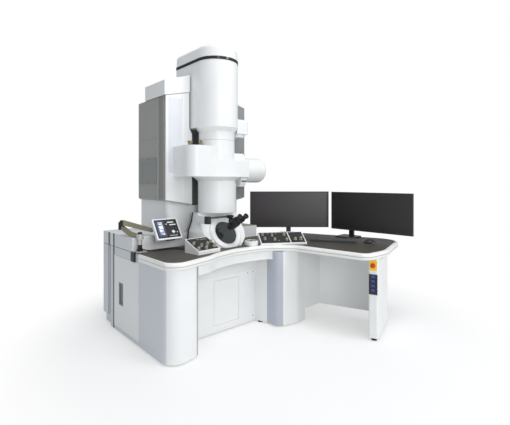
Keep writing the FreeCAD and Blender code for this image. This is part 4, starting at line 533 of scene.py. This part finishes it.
def yellow_mark(finish):
    """Yellow plate behind the stop button."""
    return finish.axes()[2].over(550), tone(246, 205, 40), 0.4


def pedestal_end_shade_mark(finish):
    """Painted shade: a grey strip at the right end of the pedestal's front, where the white panel turns back."""
    x, y, _ = finish.axes()
    # Painted shade on the turned-back end of the white panel.
    return x.over(-484) * (1 - y.over(-395)), tone(158, 160, 162), 0.45


def pedestal_side_shade_mark(finish):
    """Painted shade: the pedestal's outer side, a little darker than its round front."""
    # Painted shade on the left-facing side.
    return 1 - finish.axes()[0].over(-714, 4), tone(198, 203, 208), 0.42


def right_cover_mark(finish):
    """The cover to the right of the column is dark grey."""
    return finish.axes()[0].over(0), tone(132, 134, 136), 0.42


def outer_side(finish):
    """The outer face of the left side, where the slots and the seam show."""
    return 1 - finish.axes()[0].over(-723)


def shelf_side_shade_mark(finish):
    """Painted shade: the shelf's outer side, a little bluer and darker than its top."""
    # Painted shade on the left-facing side.
    return outer_side(finish), tone(206, 210, 214), 0.42


def first_slot_shade_mark(finish):
    """Painted shade: a dark stripe where the slot behind the service door lies."""
    # Painted shade standing for the slot's depth.
    return outer_side(finish) * finish.axes()[1].within(480, 514), tone(74, 76, 78), 0.5


def second_slot_shade_mark(finish):
    """Painted shade: an olive-dark stripe where the slot further back lies."""
    # Painted shade standing for the slot's depth.
    return outer_side(finish) * finish.axes()[1].within(577, 622), tone(98, 96, 86), 0.5


def seam_mark(finish):
    """Dark joint between the cabinet and the shelf."""
    return outer_side(finish) * finish.axes()[2].within(708, 713), tone(78, 80, 82), 0.5


def shelf_arm_shade_mark(finish):
    """Painted shade: olive-grey on the top of the shelf's right arm, beside the column."""
    x, _, z = finish.axes()
    # Painted shade on the shelf's top beside the column.
    return z.over(819.5, 0.5) * x.over(394), tone(150, 147, 132), 0.5


def cup_mark(finish):
    """Dark floor of the round knob unit's cup."""
    x, y, z = finish.axes()
    low, high = corners("knob_unit")
    floor = round_about(x, y, (low + high) / 2, 47.6, 30) * z.over(747)
    return floor, tone(44, 43, 44), 0.4


def clamp_plate_mark(finish):
    """Bare metal plate that lies on the mat."""
    x, _, z = finish.axes()
    return z.within(709, 719) * x.over(-722), tone(186, 188, 190), 0.28


# Radius of the arm's black and bare metal collars round the post, in millimetres
COLLAR_REACH = 29


def arm_joint_mark(finish):
    """Black joints at the post, the elbow and the head."""
    x, y, z = finish.axes()
    near_elbow = round_about(x, y, spot("arm_elbow_swivel")[0], 26, 60)
    near_post = round_about(x, y, spot("arm_post_swivel")[0], COLLAR_REACH, 60)
    head = spot("touch_panel_tilt")[0]
    dy, dz = y - float(head[1]), z - float(head[2])
    near_head = (1 - (dy * dy + dz * dz).over(330, 40)) * x.within(float(head[0]) - 60, float(head[0]) + 60)
    return near_elbow + near_post + near_head, tone(36, 34, 34), 0.45


def collar_mark(finish):
    """Bare metal collar of the lower arm on its post."""
    x, y, z = finish.axes()
    near_post = round_about(x, y, spot("arm_post_swivel")[0], COLLAR_REACH, 60)
    return near_post * z.within(811, 853), tone(188, 188, 184), 0.26


def touch_back_mark(finish):
    """Black mount and grip behind and below the white case."""
    lift = finish.along(TOUCH_CENTRE * MM, TOUCH_OUT)
    rise = finish.along(TOUCH_CENTRE * MM, TOUCH_UP)
    return 1 - lift.over(-30.4) * rise.over(-96.3), tone(34, 33, 34), 0.45


def keyboard_finish():
    """Black keyboard whose key tops are a little lighter."""
    finish = Finish("keyboard_black")
    z = finish.axes()[2]
    clouds = finish.noise(30, 3)
    base = finish.shade(tone(52, 52, 54), 0.85, 1.15, clouds)
    base = finish.mix(z.over(726.5, 4) * 0.6, base, tone(104, 104, 106))
    normal = finish.bump(finish.noise(1500, 2), 0.15, 0.0003)
    return finish.surface(Base_Color=base, Roughness=0.5 + clouds * 0.1, Normal=normal)


class MICROSCOPE_OT_paint_panels(bpy.types.Operator):
    """Paint the column, tower and desk panels"""

    bl_idname = "microscope.paint_panels"
    bl_label = "Paint panels"

    def execute(self, context):
        white = tuple(colours().white_paint)
        dress("gun_cap gun_cover holder_cover side_port tower_cap lower_column", paint("column_white", white, 0.34))
        dress("mid_column", paint("column_seam_white", white, 0.34, marks=[panel_gap_mark]))
        dress("stage_housing", paint("housing_white", white, 0.34, marks=[fitting_mark, bracket_mark]))
        dress("viewing_chamber", paint("chamber_white", white, 0.36, marks=[rail_mark]))
        dress("window_ring", paint("ring_white", white, 0.3))
        dress("lower_tower", paint("tower_white", white, 0.4))
        dress("tower_front_covers", paint("tower_cover_white", white, 0.4, marks=[right_cover_mark]))
        dress("centre_pillar right_leg", paint("pillar_white", white, 0.4))
        dress("left_pedestal", paint("pedestal_white", white, 0.4, marks=[pedestal_end_shade_mark, pedestal_side_shade_mark]))
        dress("front_panel access_door apron modesty_panel", paint("front_white", white, 0.42, 700))
        # Painted shade: the service door and the right cabinet get a darker copy of the white paint.
        dress("service_door right_cabinet", paint("cabinet_white", tuple(c * 0.94 for c in white), 0.42, 700))
        # The two slot marks are painted shade; the seam mark is a dark joint.
        slots = [first_slot_shade_mark, second_slot_shade_mark, seam_mark]
        # Painted shade: the left cabinet's bluish grey stands for its left side in shade.
        dress("left_cabinet", paint("cabinet_banded", tone(200, 205, 210), 0.42, 700, marks=slots))
        # Painted shade: the shelf gets a slightly darker copy of the white paint.
        shelf_white = tuple(c * 0.97 for c in white)
        shelf_marks = [shelf_arm_shade_mark, shelf_side_shade_mark, *slots]
        dress("raised_shelf", paint("shelf_white", shelf_white, 0.42, 600, marks=shelf_marks))
        dress("upper_tower", paint("frame_grey", tone(176, 180, 180), 0.45, 600))
        grey = tuple(colours().side_grey)
        dress("tower_side_panels", paint("side_grey", grey, 0.36, 1100, marks=[equipment_mark]))
        # Painted shade: the blue-grey stands for shade on the pillar's left face.
        dress("pillar_accent", paint("accent_blue_grey", tuple(colours().pillar_shade_blue), 0.36))
        return {"FINISHED"}


class MICROSCOPE_OT_dress_desk(bpy.types.Operator):
    """Give the desk top, its edge, the control units and the small parts their finishes"""

    bl_idname = "microscope.dress_desk"
    bl_label = "Dress desk"

    def execute(self, context):
        dress("desk_mat", mat_finish())
        dress("edge_moulding", edge_finish())
        dress("worktop", slab_finish())
        dress("left_control_unit", unit_finish("left"))
        dress("right_control_unit", unit_finish("right"))
        dress("window_glass", glass_finish())
        dress("gun_ring", rubber("ring_rubber", tone(30, 28, 28)))
        dress("levelling_feet", rubber("foot_rubber", tone(38, 38, 38)))
        dress("rear_lead front_lead", rubber("lead_rubber", tone(36, 36, 36)))
        dress("camera_chamber", brushed("camera_metal", tone(170, 172, 174)))
        dress("door_handle", plastic("handle_grey", tone(120, 126, 124), 0.5))
        dress("binocular", plastic("scope_black", tone(36, 33, 34), 0.42, metal=0.3))
        dress("eyepiece_left eyepiece_right", plastic("eyepiece_black", tone(28, 27, 28), 0.5))
        silver_collar = mark_z(770, 812, tone(190, 190, 186), 0.25)
        clamp_marks = [clamp_plate_mark, silver_collar]
        dress("arm_clamp", plastic("clamp_black", tone(34, 33, 33), 0.4, metal=0.4, marks=clamp_marks))
        olive = tuple(colours().arm_olive)
        arm_marks = [arm_joint_mark, collar_mark]
        dress("arm_lower arm_upper", plastic("arm_olive", olive, 0.42, metal=0.35, marks=arm_marks))
        dress("touch_panel", plastic("touch_white", tone(228, 230, 232), 0.4, marks=[touch_back_mark]))
        dress("stop_button", plastic("stop_red", tone(206, 44, 32), 0.3))
        dress("switch_plates", plastic("switch_black", tone(32, 32, 34), 0.4, marks=[yellow_mark]))
        switches = " ".join("switch_button_%d" % number for number in range(1, 5))
        dress(switches, plastic("switch_blue", tone(44, 74, 150), 0.25))
        dress("knob_unit", plastic("knob_unit_white", tone(226, 227, 226), 0.4, marks=[cup_mark]))
        dress("left_main_knob right_main_knob", brushed("knob_silver", tone(190, 186, 172)))
        dress("keyboard", keyboard_finish())
        dress("mouse", plastic("mouse_black", tone(34, 34, 36), 0.3))
        dress("left_monitor right_monitor", plastic("bezel_black", tone(50, 48, 48), 0.42))
        pale_base = mark_z(700, 728, tone(206, 208, 210), 0.45)
        dress("left_monitor_stand", plastic("stand_pale_base", tone(44, 44, 46), 0.35, marks=[pale_base]))
        dress("right_monitor_stand", plastic("stand_black", tone(44, 44, 46), 0.35, metal=0.3))
        return {"FINISHED"}


# Monitors, in millimetres, as in the part: the frame, its rims and the pin behind its back; then how far
# the glass stays clear of the frame and lies below its front.
SCREEN_WIDTH = 823
SCREEN_HEIGHT = 374
SCREEN_EDGE = 18
SCREEN_RIM = 9
SCREEN_LOW_RIM = 12
PIN_BEHIND = 46
GLASS_PLAY = 1.5
GLASS_SINK = 1.0


class MICROSCOPE_OT_add_screens(bpy.types.Operator):
    """Set the glass of both monitors and the keys in their lower rims"""

    bl_idname = "microscope.add_screens"
    bl_label = "Monitor glass"

    def execute(self, context):
        for side in ("left", "right"):
            pin, across = spot(side + "_monitor_tilt")
            inward = np.array([-across[1], across[0], 0])
            low, _ = corners(side + "_monitor")
            opening = SCREEN_HEIGHT - SCREEN_RIM - SCREEN_LOW_RIM
            half_width, half_height = SCREEN_WIDTH / 2 - SCREEN_RIM - GLASS_PLAY, opening / 2 - GLASS_PLAY
            middle = pin - inward * (PIN_BEHIND + SCREEN_EDGE - GLASS_SINK)
            middle[2] = low[2] + SCREEN_LOW_RIM + opening / 2
            grid = stand(plate(half_width, half_height, 0.8, 3, 0.4), middle + inward * 0.5, across, (0, 0, 1))
            finish = screen_finish(side, middle * MM, across, half_width)
            assemble(side + "_screen", [grid], side + "_monitor", finish)
            trim = []
            for number in range(5):
                place = middle - inward * 0.4 + across * (half_width - 18 - number * 16)
                place[2] = low[2] + SCREEN_LOW_RIM / 2 - 0.5
                trim.append(stand(plate(4, 1.6, 0.8, 1.4, 0.3, 4), place, across, (0, 0, 1)))
            keys = plastic(side + "_bezel_keys", tone(30, 30, 32), 0.35)
            assemble(side + "_bezel_keys", trim, side + "_monitor", keys)
        return {"FINISHED"}


# Out of the touch panel's face, in millimetres: keys and display are sunk a little into it
KEY_LIFT = -0.15


class MICROSCOPE_OT_add_touch_face(bpy.types.Operator):
    """Set the touch panel's dark face with its display, bars and arrow keys"""

    bl_idname = "microscope.add_touch_face"
    bl_label = "Touch face"

    def execute(self, context):
        def face(x, y, half_width, half_height, thick, corner, lift=KEY_LIFT, turn=0.0):
            place = TOUCH_CENTRE + np.array([x, 0, 0]) + TOUCH_UP * y + TOUCH_OUT * lift
            across = np.array([math.cos(turn), 0, 0]) + TOUCH_UP * math.sin(turn)
            grid = plate(half_width, half_height, thick, corner, min(0.4, thick / 2))
            return stand(grid, place, across, np.cross(TOUCH_OUT, across))

        dark = plastic("touch_dark", tone(40, 38, 42), 0.3)
        assemble("touch_face", [face(1, 2, 100.5, 84, 1.8, 5, -1.9)], "touch_panel", dark)
        display = Finish("touch_display")
        x = display.along(TOUCH_CENTRE * MM, (1, 0, 0))
        y = display.along(TOUCH_CENTRE * MM, TOUCH_UP)
        rows = display.noise(60, 1, (0.2, 1, 2.4)).over(0.52, 0.06)
        window = x.within(-72, -34) * y.within(-52, 62)
        glow = display.mix(rows * window, tone(74, 78, 104), tone(214, 222, 240))
        finish = display.surface(Base_Color=glow, Roughness=0.25, Emission_Color=glow, Emission_Strength=0.35)
        assemble("touch_display", [face(-54, 2, 34, 70, 0.8, 2)], "touch_panel", finish)
        white = plastic("touch_key_white", tone(228, 228, 228), 0.35)
        keys = [face(42, 58, 28, 5, 1.2, 2), face(58, 34, 28, 5, 1.2, 2), face(2, 42, 5, 5, 1.2, 4.9)]
        keys += [face(46, -30, 12, 12, 1.2, 2, turn=math.pi / 4), face(80, -36, 5, 5, 1.2, 4.9)]
        keys += [face(12 + 18 * i, -64, 6, 3, 1.0, 1.5) for i in range(4)]
        assemble("touch_keys", keys, "touch_panel", white)
        return {"FINISHED"}


# Knobs on the control units: place across and up the face, and radius
KNOBS = {
    "left": [(28, 104, 12), (22, 30, 14), (76, 66, 13), (98, 30, 13), (144, 78, 14), (196, 100, 12)],
    "right": [
        (35, 133, 12), (46, 68, 14), (120, 121, 14), (134, 56, 14), (232, 125, 14), (241, 51, 13), (322, 55, 14),
    ],
}
KNOB_TOP = 20
MAIN_KNOB_RADIUS = 15
MAIN_KNOB_TOP = 26


def ribbed_knob(radius, height):
    """A knob cap: a skirt, a ribbed barrel, a bevel and a raised ring round a slightly domed top."""
    r = radius + 0.4
    profile = [
        (0, 1.1), (r, 1.1), (r, 4.2), (r * 0.84, 6), (r * 0.82, 6.4), (r * 0.8, height - 1.8),
        (r * 0.76, height - 0.6), (r * 0.66, height + 0.3), (r * 0.5, height), (0, height + 0.2),
    ]
    return turned(profile, 96, sizes().knob_ribs, 0.45, (4, 5))


class MICROSCOPE_OT_add_knobs(bpy.types.Operator):
    """Put ribbed caps on the control knobs"""

    bl_idname = "microscope.add_knobs"
    bl_label = "Knob caps"

    def execute(self, context):
        silver = brushed("knob_cap_silver", tone(186, 181, 164))
        for side in ("left", "right"):
            origin, across, uphill, _ = unit_frame(side)

            def cap(u, v, radius, height=KNOB_TOP):
                return stand(ribbed_knob(radius, height), origin + across * u + uphill * v, across, uphill)

            caps = [cap(*knob) for knob in KNOBS[side]]
            assemble(side + "_knob_caps", caps, "console", silver)
            main_cap = cap(*MAIN_KNOBS[side], MAIN_KNOB_RADIUS, MAIN_KNOB_TOP)
            main = assemble(side + "_main_knob_cap", [main_cap], side + "_main_knob", silver)
            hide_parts(side + "_main_knob")
        return {"FINISHED"}


# The gun ring's outer radius, and how far behind the axis the chamber's gasket runs
GUN_RING_RADIUS = 190.0
GASKET_Y = 112


class MICROSCOPE_OT_add_column_trim(bpy.types.Operator):
    """Fit the ring's catches, the chamber's black gasket and the tower's trim strips"""

    bl_idname = "microscope.add_column_trim"
    bl_label = "Column trim"

    def execute(self, context):
        low, high = corners("gun_ring")
        dark = plastic("catch_steel", tone(120, 120, 124), 0.3, metal=0.8)
        catches = []
        for degrees in (238, 262):
            angle = math.radians(degrees)
            out = np.array([math.cos(angle), math.sin(angle), 0])
            place = out * GUN_RING_RADIUS + np.array([0, 0, (low[2] + high[2]) / 2])
            catches.append(stand(plate(9, 6.5, 2.4, 2, 0.8), place, (-out[1], out[0], 0), (0, 0, 1)))
        assemble("gun_catches", catches, "console", dark)

        black = rubber("gasket_black", tone(26, 25, 26))
        level = np.linspace(993, 716, 60)
        reach = chamber_radius(level) + 0.4
        angle = math.pi - np.arcsin(np.clip(GASKET_Y / reach, -1, 1))
        path = np.stack([reach * np.cos(angle), reach * np.sin(angle), level], -1)
        outward = np.stack([np.cos(angle), np.sin(angle), angle * 0], -1)
        tangent = np.stack([np.sin(angle), -np.cos(angle), angle * 0], -1)
        gasket = swept_band(path, outward, tangent, 15, 8)
        assemble("chamber_gasket", [gasket], "console", black)

        front = corners("tower_front_covers")[0][1]
        proud = sizes().strip_proud * 1000
        # Painted shade: the badge strip is painted a bluish grey-white, darker than the white paint, for the shade on
        # it.
        badge_shade_white = paint("strip_white", tone(214, 216, 222), 0.36)
        strip = stand(plate(62, 318, proud, 6, 0.8), (-344, front, 1660), (1, 0, 0), (0, 0, 1))
        bead = stand(plate(6, 440, proud + 2.5, 4, 1.2), (-266, front, 1556), (1, 0, 0), (0, 0, 1))
        assemble("tower_badge_panel", [strip], "console", badge_shade_white)
        assemble("tower_bead", [bead], "console", paint("bead_white", tone(236, 236, 236), 0.3))
        return {"FINISHED"}


def chamber_radius(level):
    """Radius of the viewing chamber's wall at a height: straight runs between its rings."""
    rings = [(708, 230), (722, 230), (770, 252), (840, 246), (916, 218), (996, 206)]
    heights, radii = zip(*rings)
    return np.interp(level, heights, radii)


def swept_band(path, outward, tangent, half_width, proud):
    """A flat band: at each path point a low rounded section across the tangent, raised along the outward direction."""
    section = rounded_outline(half_width, proud, proud * 0.9, 5)
    grid = path[:, None] + tangent[:, None] * section[None, :, :1] + outward[:, None] * section[None, :, 1:]
    first = np.repeat(path[:1], grid.shape[1], 0)[None]
    last = np.repeat(path[-1:], grid.shape[1], 0)[None]
    return np.concatenate([first, grid, last])


# Outer face of the tower's left side, and the equipment plate that stands on it
SIDE_FACE = -437.0
EQUIPMENT_THICKNESS = 8
EQUIPMENT_SILL = 1240


class MICROSCOPE_OT_add_side_trim(bpy.types.Operator):
    """Fit the bars and the screws on the tower's left side"""

    bl_idname = "microscope.add_side_trim"
    bl_label = "Tower side trim"

    def execute(self, context):
        low, high = corners("tower_side_panels")
        bright = brushed("bar_bright", tone(196, 197, 194), (1, 60, 1))
        dull = paint("bar_dull", tone(132, 131, 124), 0.4)
        middle = (low[2] + high[2]) / 2
        half = (high[2] - low[2]) / 2 - 4

        def side_bar(y, half_width, thick):
            return stand(plate(half_width, half, thick, 3, 0.8), (SIDE_FACE, y, middle), (0, -1, 0), (0, 0, 1))

        assemble("side_bar_bright", [side_bar(247, 5, 6)], "console", bright)
        dull_bars = [side_bar(188, 24, 3.5), side_bar(226, 7, 2)]
        assemble("side_bar_dull", dull_bars, "console", dull)
        screws = []
        for y, z in ((300, 1460), (420, 1460), (300, 1256), (420, 1256), (540, 1256), (300, 1130), (600, 1130)):
            base = SIDE_FACE - (EQUIPMENT_THICKNESS if z > EQUIPMENT_SILL else 0)
            screws.append(stand(screw_head(4.5), (base, y, z), (0, -1, 0), (0, 0, 1)))
        dark = plastic("screw_dark", tone(90, 90, 90), 0.3, metal=0.8)
        assemble("side_screws", screws, "console", dark)
        return {"FINISHED"}


def screw_head(radius):
    """A low domed screw head with a round recess in its middle."""
    profile = [
        (0, -0.2), (radius, -0.2), (radius, 0.6), (radius * 0.8, 1.6),
        (radius * 0.42, 1.9), (radius * 0.4, 0.7), (0, 0.7),
    ]
    return turned(profile, 24)


class MICROSCOPE_OT_add_desk_trim(bpy.types.Operator):
    """Fit the panel screws, the clamp's screws and the small knobs in the cup"""

    bl_idname = "microscope.add_desk_trim"
    bl_label = "Desk trim"

    def execute(self, context):
        steel = plastic("screw_steel", tone(120, 122, 124), 0.3, metal=0.8)
        low, high = corners("front_panel")
        front = low[1]
        heads = []
        for x, z in ((low[0] + 24, 452), (210, 452), (high[0] - 30, 452), (high[0] - 30, 60), (low[0] + 24, 60)):
            heads.append(stand(screw_head(5), (x, front, z), (1, 0, 0), (0, 0, 1)))
        assemble("panel_screws", heads, "console", steel)

        post, _ = spot("arm_post_swivel")
        screws = [stand(screw_head(5), (post[0] + x, post[1] - 22, 717.8), (1, 0, 0), (0, 1, 0)) for x in (6, 24)]
        assemble("clamp_screws", screws, "console", steel)

        cup_low, cup_high = corners("knob_unit")
        centre = (cup_low + cup_high) / 2
        small = []
        for x, y in ((-26, 2), (6, -18), (24, 14)):
            place = (centre[0] + x, centre[1] + y, cup_high[2] - 5.4)
            small.append(stand(ribbed_knob(11, 4.6), place, (1, 0, 0), (0, 1, 0)))
        assemble("cup_knobs", small, "console", brushed("cup_knob_silver", tone(186, 181, 164)))
        return {"FINISHED"}


class MICROSCOPE_OT_add_scope_trim(bpy.types.Operator):
    """Fit eyecups, ribbed rings and the focus knob of the binocular"""

    bl_idname = "microscope.add_scope_trim"
    bl_label = "Binocular trim"

    def execute(self, context):
        soft = rubber("eyecup_rubber", tone(24, 24, 25))
        for side in ("left", "right"):
            where, along = spot("eyepiece_%s_turn" % side)
            profile = [(14, 52), (20.6, 48), (22.4, 56), (23.2, 62), (21.6, 63.4), (18, 60), (14, 56)]
            cup = stand(turned(profile + profile[:1], 64), where, (1, 0, 0), np.cross(along, (1, 0, 0)))
            ring_profile = [(16, 18), (18.2, 18), (18.6, 19), (18.6, 25), (18.2, 26), (16, 26), (16, 18)]
            ring = stand(turned(ring_profile, 120, 30, 0.35, (2, 3)), where, (1, 0, 0), np.cross(along, (1, 0, 0)))
            assemble("eyecup_" + side, [cup, ring], "eyepiece_" + side, soft)
        pivot, _ = spot("binocular_tilt")
        metal = plastic("focus_black", tone(40, 39, 40), 0.4, metal=0.5)
        knob = turned([(0, 0), (9, 0), (9, 5), (14, 6), (15, 8), (15, 18), (13, 20), (0, 20)], 96, 24, 0.5, (4, 5))
        place = pivot + np.array([-34, -52, -62])
        assemble("focus_knob", [stand(knob, place, (0, 0, 1), (0, 1, 0))], "binocular", metal)
        return {"FINISHED"}


# Paths of the leads over the mat, in millimetres, and their lengths in metres
REAR_LEAD = [
    (-652, 104, 727), (-636, 103, 724), (-618, 98, 718), (-592, 90, 714), (-560, 86, 713), (-520, 86, 713),
    (-480, 90, 713), (-440, 88, 713), (-404, 76, 713), (-374, 54, 713), (-350, 24, 713), (-335, -12, 713),
    (-328, -52, 713), (-325, -92, 713), (-323.5, -126, 713), (-322.9, -150.5, 715),
]
FRONT_LEAD = [
    (-651, 84, 727), (-636, 81, 724), (-618, 74, 718), (-594, 62, 714), (-564, 54, 713), (-530, 54, 713),
    (-496, 56, 713), (-462, 50, 713), (-430, 36, 713), (-404, 12, 713), (-386, -18, 713), (-375, -52, 713),
    (-369, -90, 713), (-365, -128, 713), (-362.8, -154.4, 715),
]
LEADS = (("rear_lead", REAR_LEAD, 0.506), ("front_lead", FRONT_LEAD, 0.440))


class MICROSCOPE_OT_add_leads(bpy.types.Operator):
    """Lay the two leads over the mat as smooth curves"""

    bl_idname = "microscope.add_leads"
    bl_label = "Leads"

    def execute(self, context):
        finish = rubber("lead_jacket", tone(34, 34, 35))
        for name, points, length in LEADS:
            curve = bpy.data.curves.new(name + "_cord", "CURVE")
            curve.dimensions = "3D"
            spline = curve.splines.new("NURBS")
            spline.points.add(len(points) - 1)
            flat = np.column_stack([np.array(points) * MM, np.ones(len(points))])
            spline.points.foreach_set("co", flat.ravel())
            spline.order_u = 3
            spline.use_endpoint_u = True
            curve.resolution_u = 12
            curve.bevel_depth = sizes().lead_radius
            curve.bevel_resolution = 5
            curve.use_fill_caps = True
            curve.materials.append(finish)
            piece = bpy.data.objects.new(name + "_cord", curve)
            bpy.context.scene.collection.objects.link(piece)
            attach(piece, "console")
            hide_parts(name)
        return {"FINISHED"}


# Half the floor's side in metres; the point in millimetres round which it keeps its shadows, and the square
# of the distance at which they have half faded, with the width of that fade
FLOOR_REACH = 14.0
FLOOR_MIDDLE = (350.0, -250.0)
FLOOR_FADE = (3.1e6, 3.0e6)

# Round lights: place, the point they face, diameter and power
LIGHTS = {
    "key_light": ((2.6, -5.6, 4.4), (0.2, -0.2, 1.0), 3.2, 118),
    "front_light": ((-2.2, -6.4, 2.2), (0.0, 0.2, 0.9), 3.4, 108),
    "top_light": ((-0.4, -1.8, 6.0), (0.2, 0, 0.8), 2.6, 120),
}

# Level camera, worked out from the photograph: place in metres, turn and upright shift
CAMERA_PLACE = (-1.973, -2.700, 1.270)
CAMERA_TURN = math.radians(-42)
CAMERA_SHIFT = -0.0618


class MICROSCOPE_OT_set_stage(bpy.types.Operator):
    """Set the pale floor, the soft lights and the camera"""

    bl_idname = "microscope.set_stage"
    bl_label = "Studio"

    def execute(self, context):
        scene = context.scene
        mesh = bpy.data.meshes.new("studio_floor")
        rim = np.array([(-1, -1, 0), (1, -1, 0), (1, 1, 0), (-1, 1, 0)]) * FLOOR_REACH
        mesh.from_pydata(rim.tolist(), [], [(0, 1, 2, 3)])
        floor = bpy.data.objects.new("studio_floor", mesh)
        scene.collection.objects.link(floor)
        finish = Finish("floor_white")
        diffuse = finish.node("ShaderNodeBsdfDiffuse", None, {"Color": (0.9, 0.9, 0.9)})
        glow = finish.node("ShaderNodeEmission", None, {"Color": (1, 1, 1), "Strength": 1.0})
        seen = finish.node("ShaderNodeLightPath", out="Is Camera Ray")
        mirrored = finish.node("ShaderNodeLightPath", out="Is Glossy Ray")
        x, y, _ = finish.axes()
        x, y = x - FLOOR_MIDDLE[0], y - FLOOR_MIDDLE[1]
        far = (x * x + y * y).over(*FLOOR_FADE)
        share = seen * (far * 0.58 + 0.42) + mirrored * 0.5
        mesh.materials.append(finish.end(finish.node("ShaderNodeMixShader", None, {0: share, 1: diffuse, 2: glow})))

        sky = Shading(bpy.data.worlds.new("studio_world"), "ShaderNodeOutputWorld")
        bright = sky.node("ShaderNodeBackground", None, {"Color": (1, 1, 1), "Strength": 1.0})
        ambient = sky.node("ShaderNodeBackground", None, {"Color": (0.93, 0.96, 1), "Strength": 0.5})
        seen = sky.node("ShaderNodeLightPath", out="Is Camera Ray")
        scene.world = sky.end(sky.node("ShaderNodeMixShader", None, {0: seen, 1: ambient, 2: bright}))

        for name, (place, target, width, power) in LIGHTS.items():
            light = bpy.data.lights.new(name, "AREA")
            light.shape = "DISK"
            light.size = width
            light.energy = power
            holder = bpy.data.objects.new(name, light)
            scene.collection.objects.link(holder)
            holder.location = place
            holder.rotation_euler = (Vector(target) - Vector(place)).to_track_quat("-Z", "Y").to_euler()

        camera = bpy.data.cameras.new("studio_camera")
        camera.sensor_width = 36
        camera.lens = sizes().lens
        camera.shift_y = CAMERA_SHIFT
        camera.clip_end = 60
        holder = bpy.data.objects.new("studio_camera", camera)
        scene.collection.objects.link(holder)
        holder.location = CAMERA_PLACE
        holder.rotation_euler = (math.radians(90), 0, CAMERA_TURN)
        scene.camera = holder
        scene.view_settings.view_transform = "Standard"
        return {"FINISHED"}


class MICROSCOPE_PT_panel(bpy.types.Panel):
    """Lists the dressing steps"""

    bl_label = "Microscope"
    bl_idname = "MICROSCOPE_PT_panel"
    bl_space_type = "VIEW_3D"
    bl_region_type = "UI"
    bl_category = "Microscope"

    def draw(self, context):
        for operator in OPERATORS:
            self.layout.operator(operator.bl_idname)
        for group in (colours(), sizes()):
            for name in group.__annotations__:
                self.layout.prop(group, name)


OPERATORS = (
    MICROSCOPE_OT_set_stage,
    MICROSCOPE_OT_add_leads,
    MICROSCOPE_OT_paint_panels,
    MICROSCOPE_OT_dress_desk,
    MICROSCOPE_OT_add_screens,
    MICROSCOPE_OT_add_touch_face,
    MICROSCOPE_OT_add_knobs,
    MICROSCOPE_OT_add_column_trim,
    MICROSCOPE_OT_add_side_trim,
    MICROSCOPE_OT_add_desk_trim,
    MICROSCOPE_OT_add_scope_trim,
)
CLASSES = (MicroscopeColours, MicroscopeSizes, MICROSCOPE_PT_panel, *OPERATORS)


def register():
    for item in CLASSES:
        bpy.utils.register_class(item)
    bpy.types.Scene.microscope_colours = bpy.props.PointerProperty(type=MicroscopeColours)
    bpy.types.Scene.microscope_sizes = bpy.props.PointerProperty(type=MicroscopeSizes)


def unregister():
    del bpy.types.Scene.microscope_colours
    del bpy.types.Scene.microscope_sizes
    for item in reversed(CLASSES):
        bpy.utils.unregister_class(item)


def main():
    """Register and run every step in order."""
    register()
    for operator in OPERATORS:
        group, name = operator.bl_idname.split(".")
        getattr(getattr(bpy.ops, group), name)()
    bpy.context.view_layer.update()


if __name__ == "__main__":
    main()
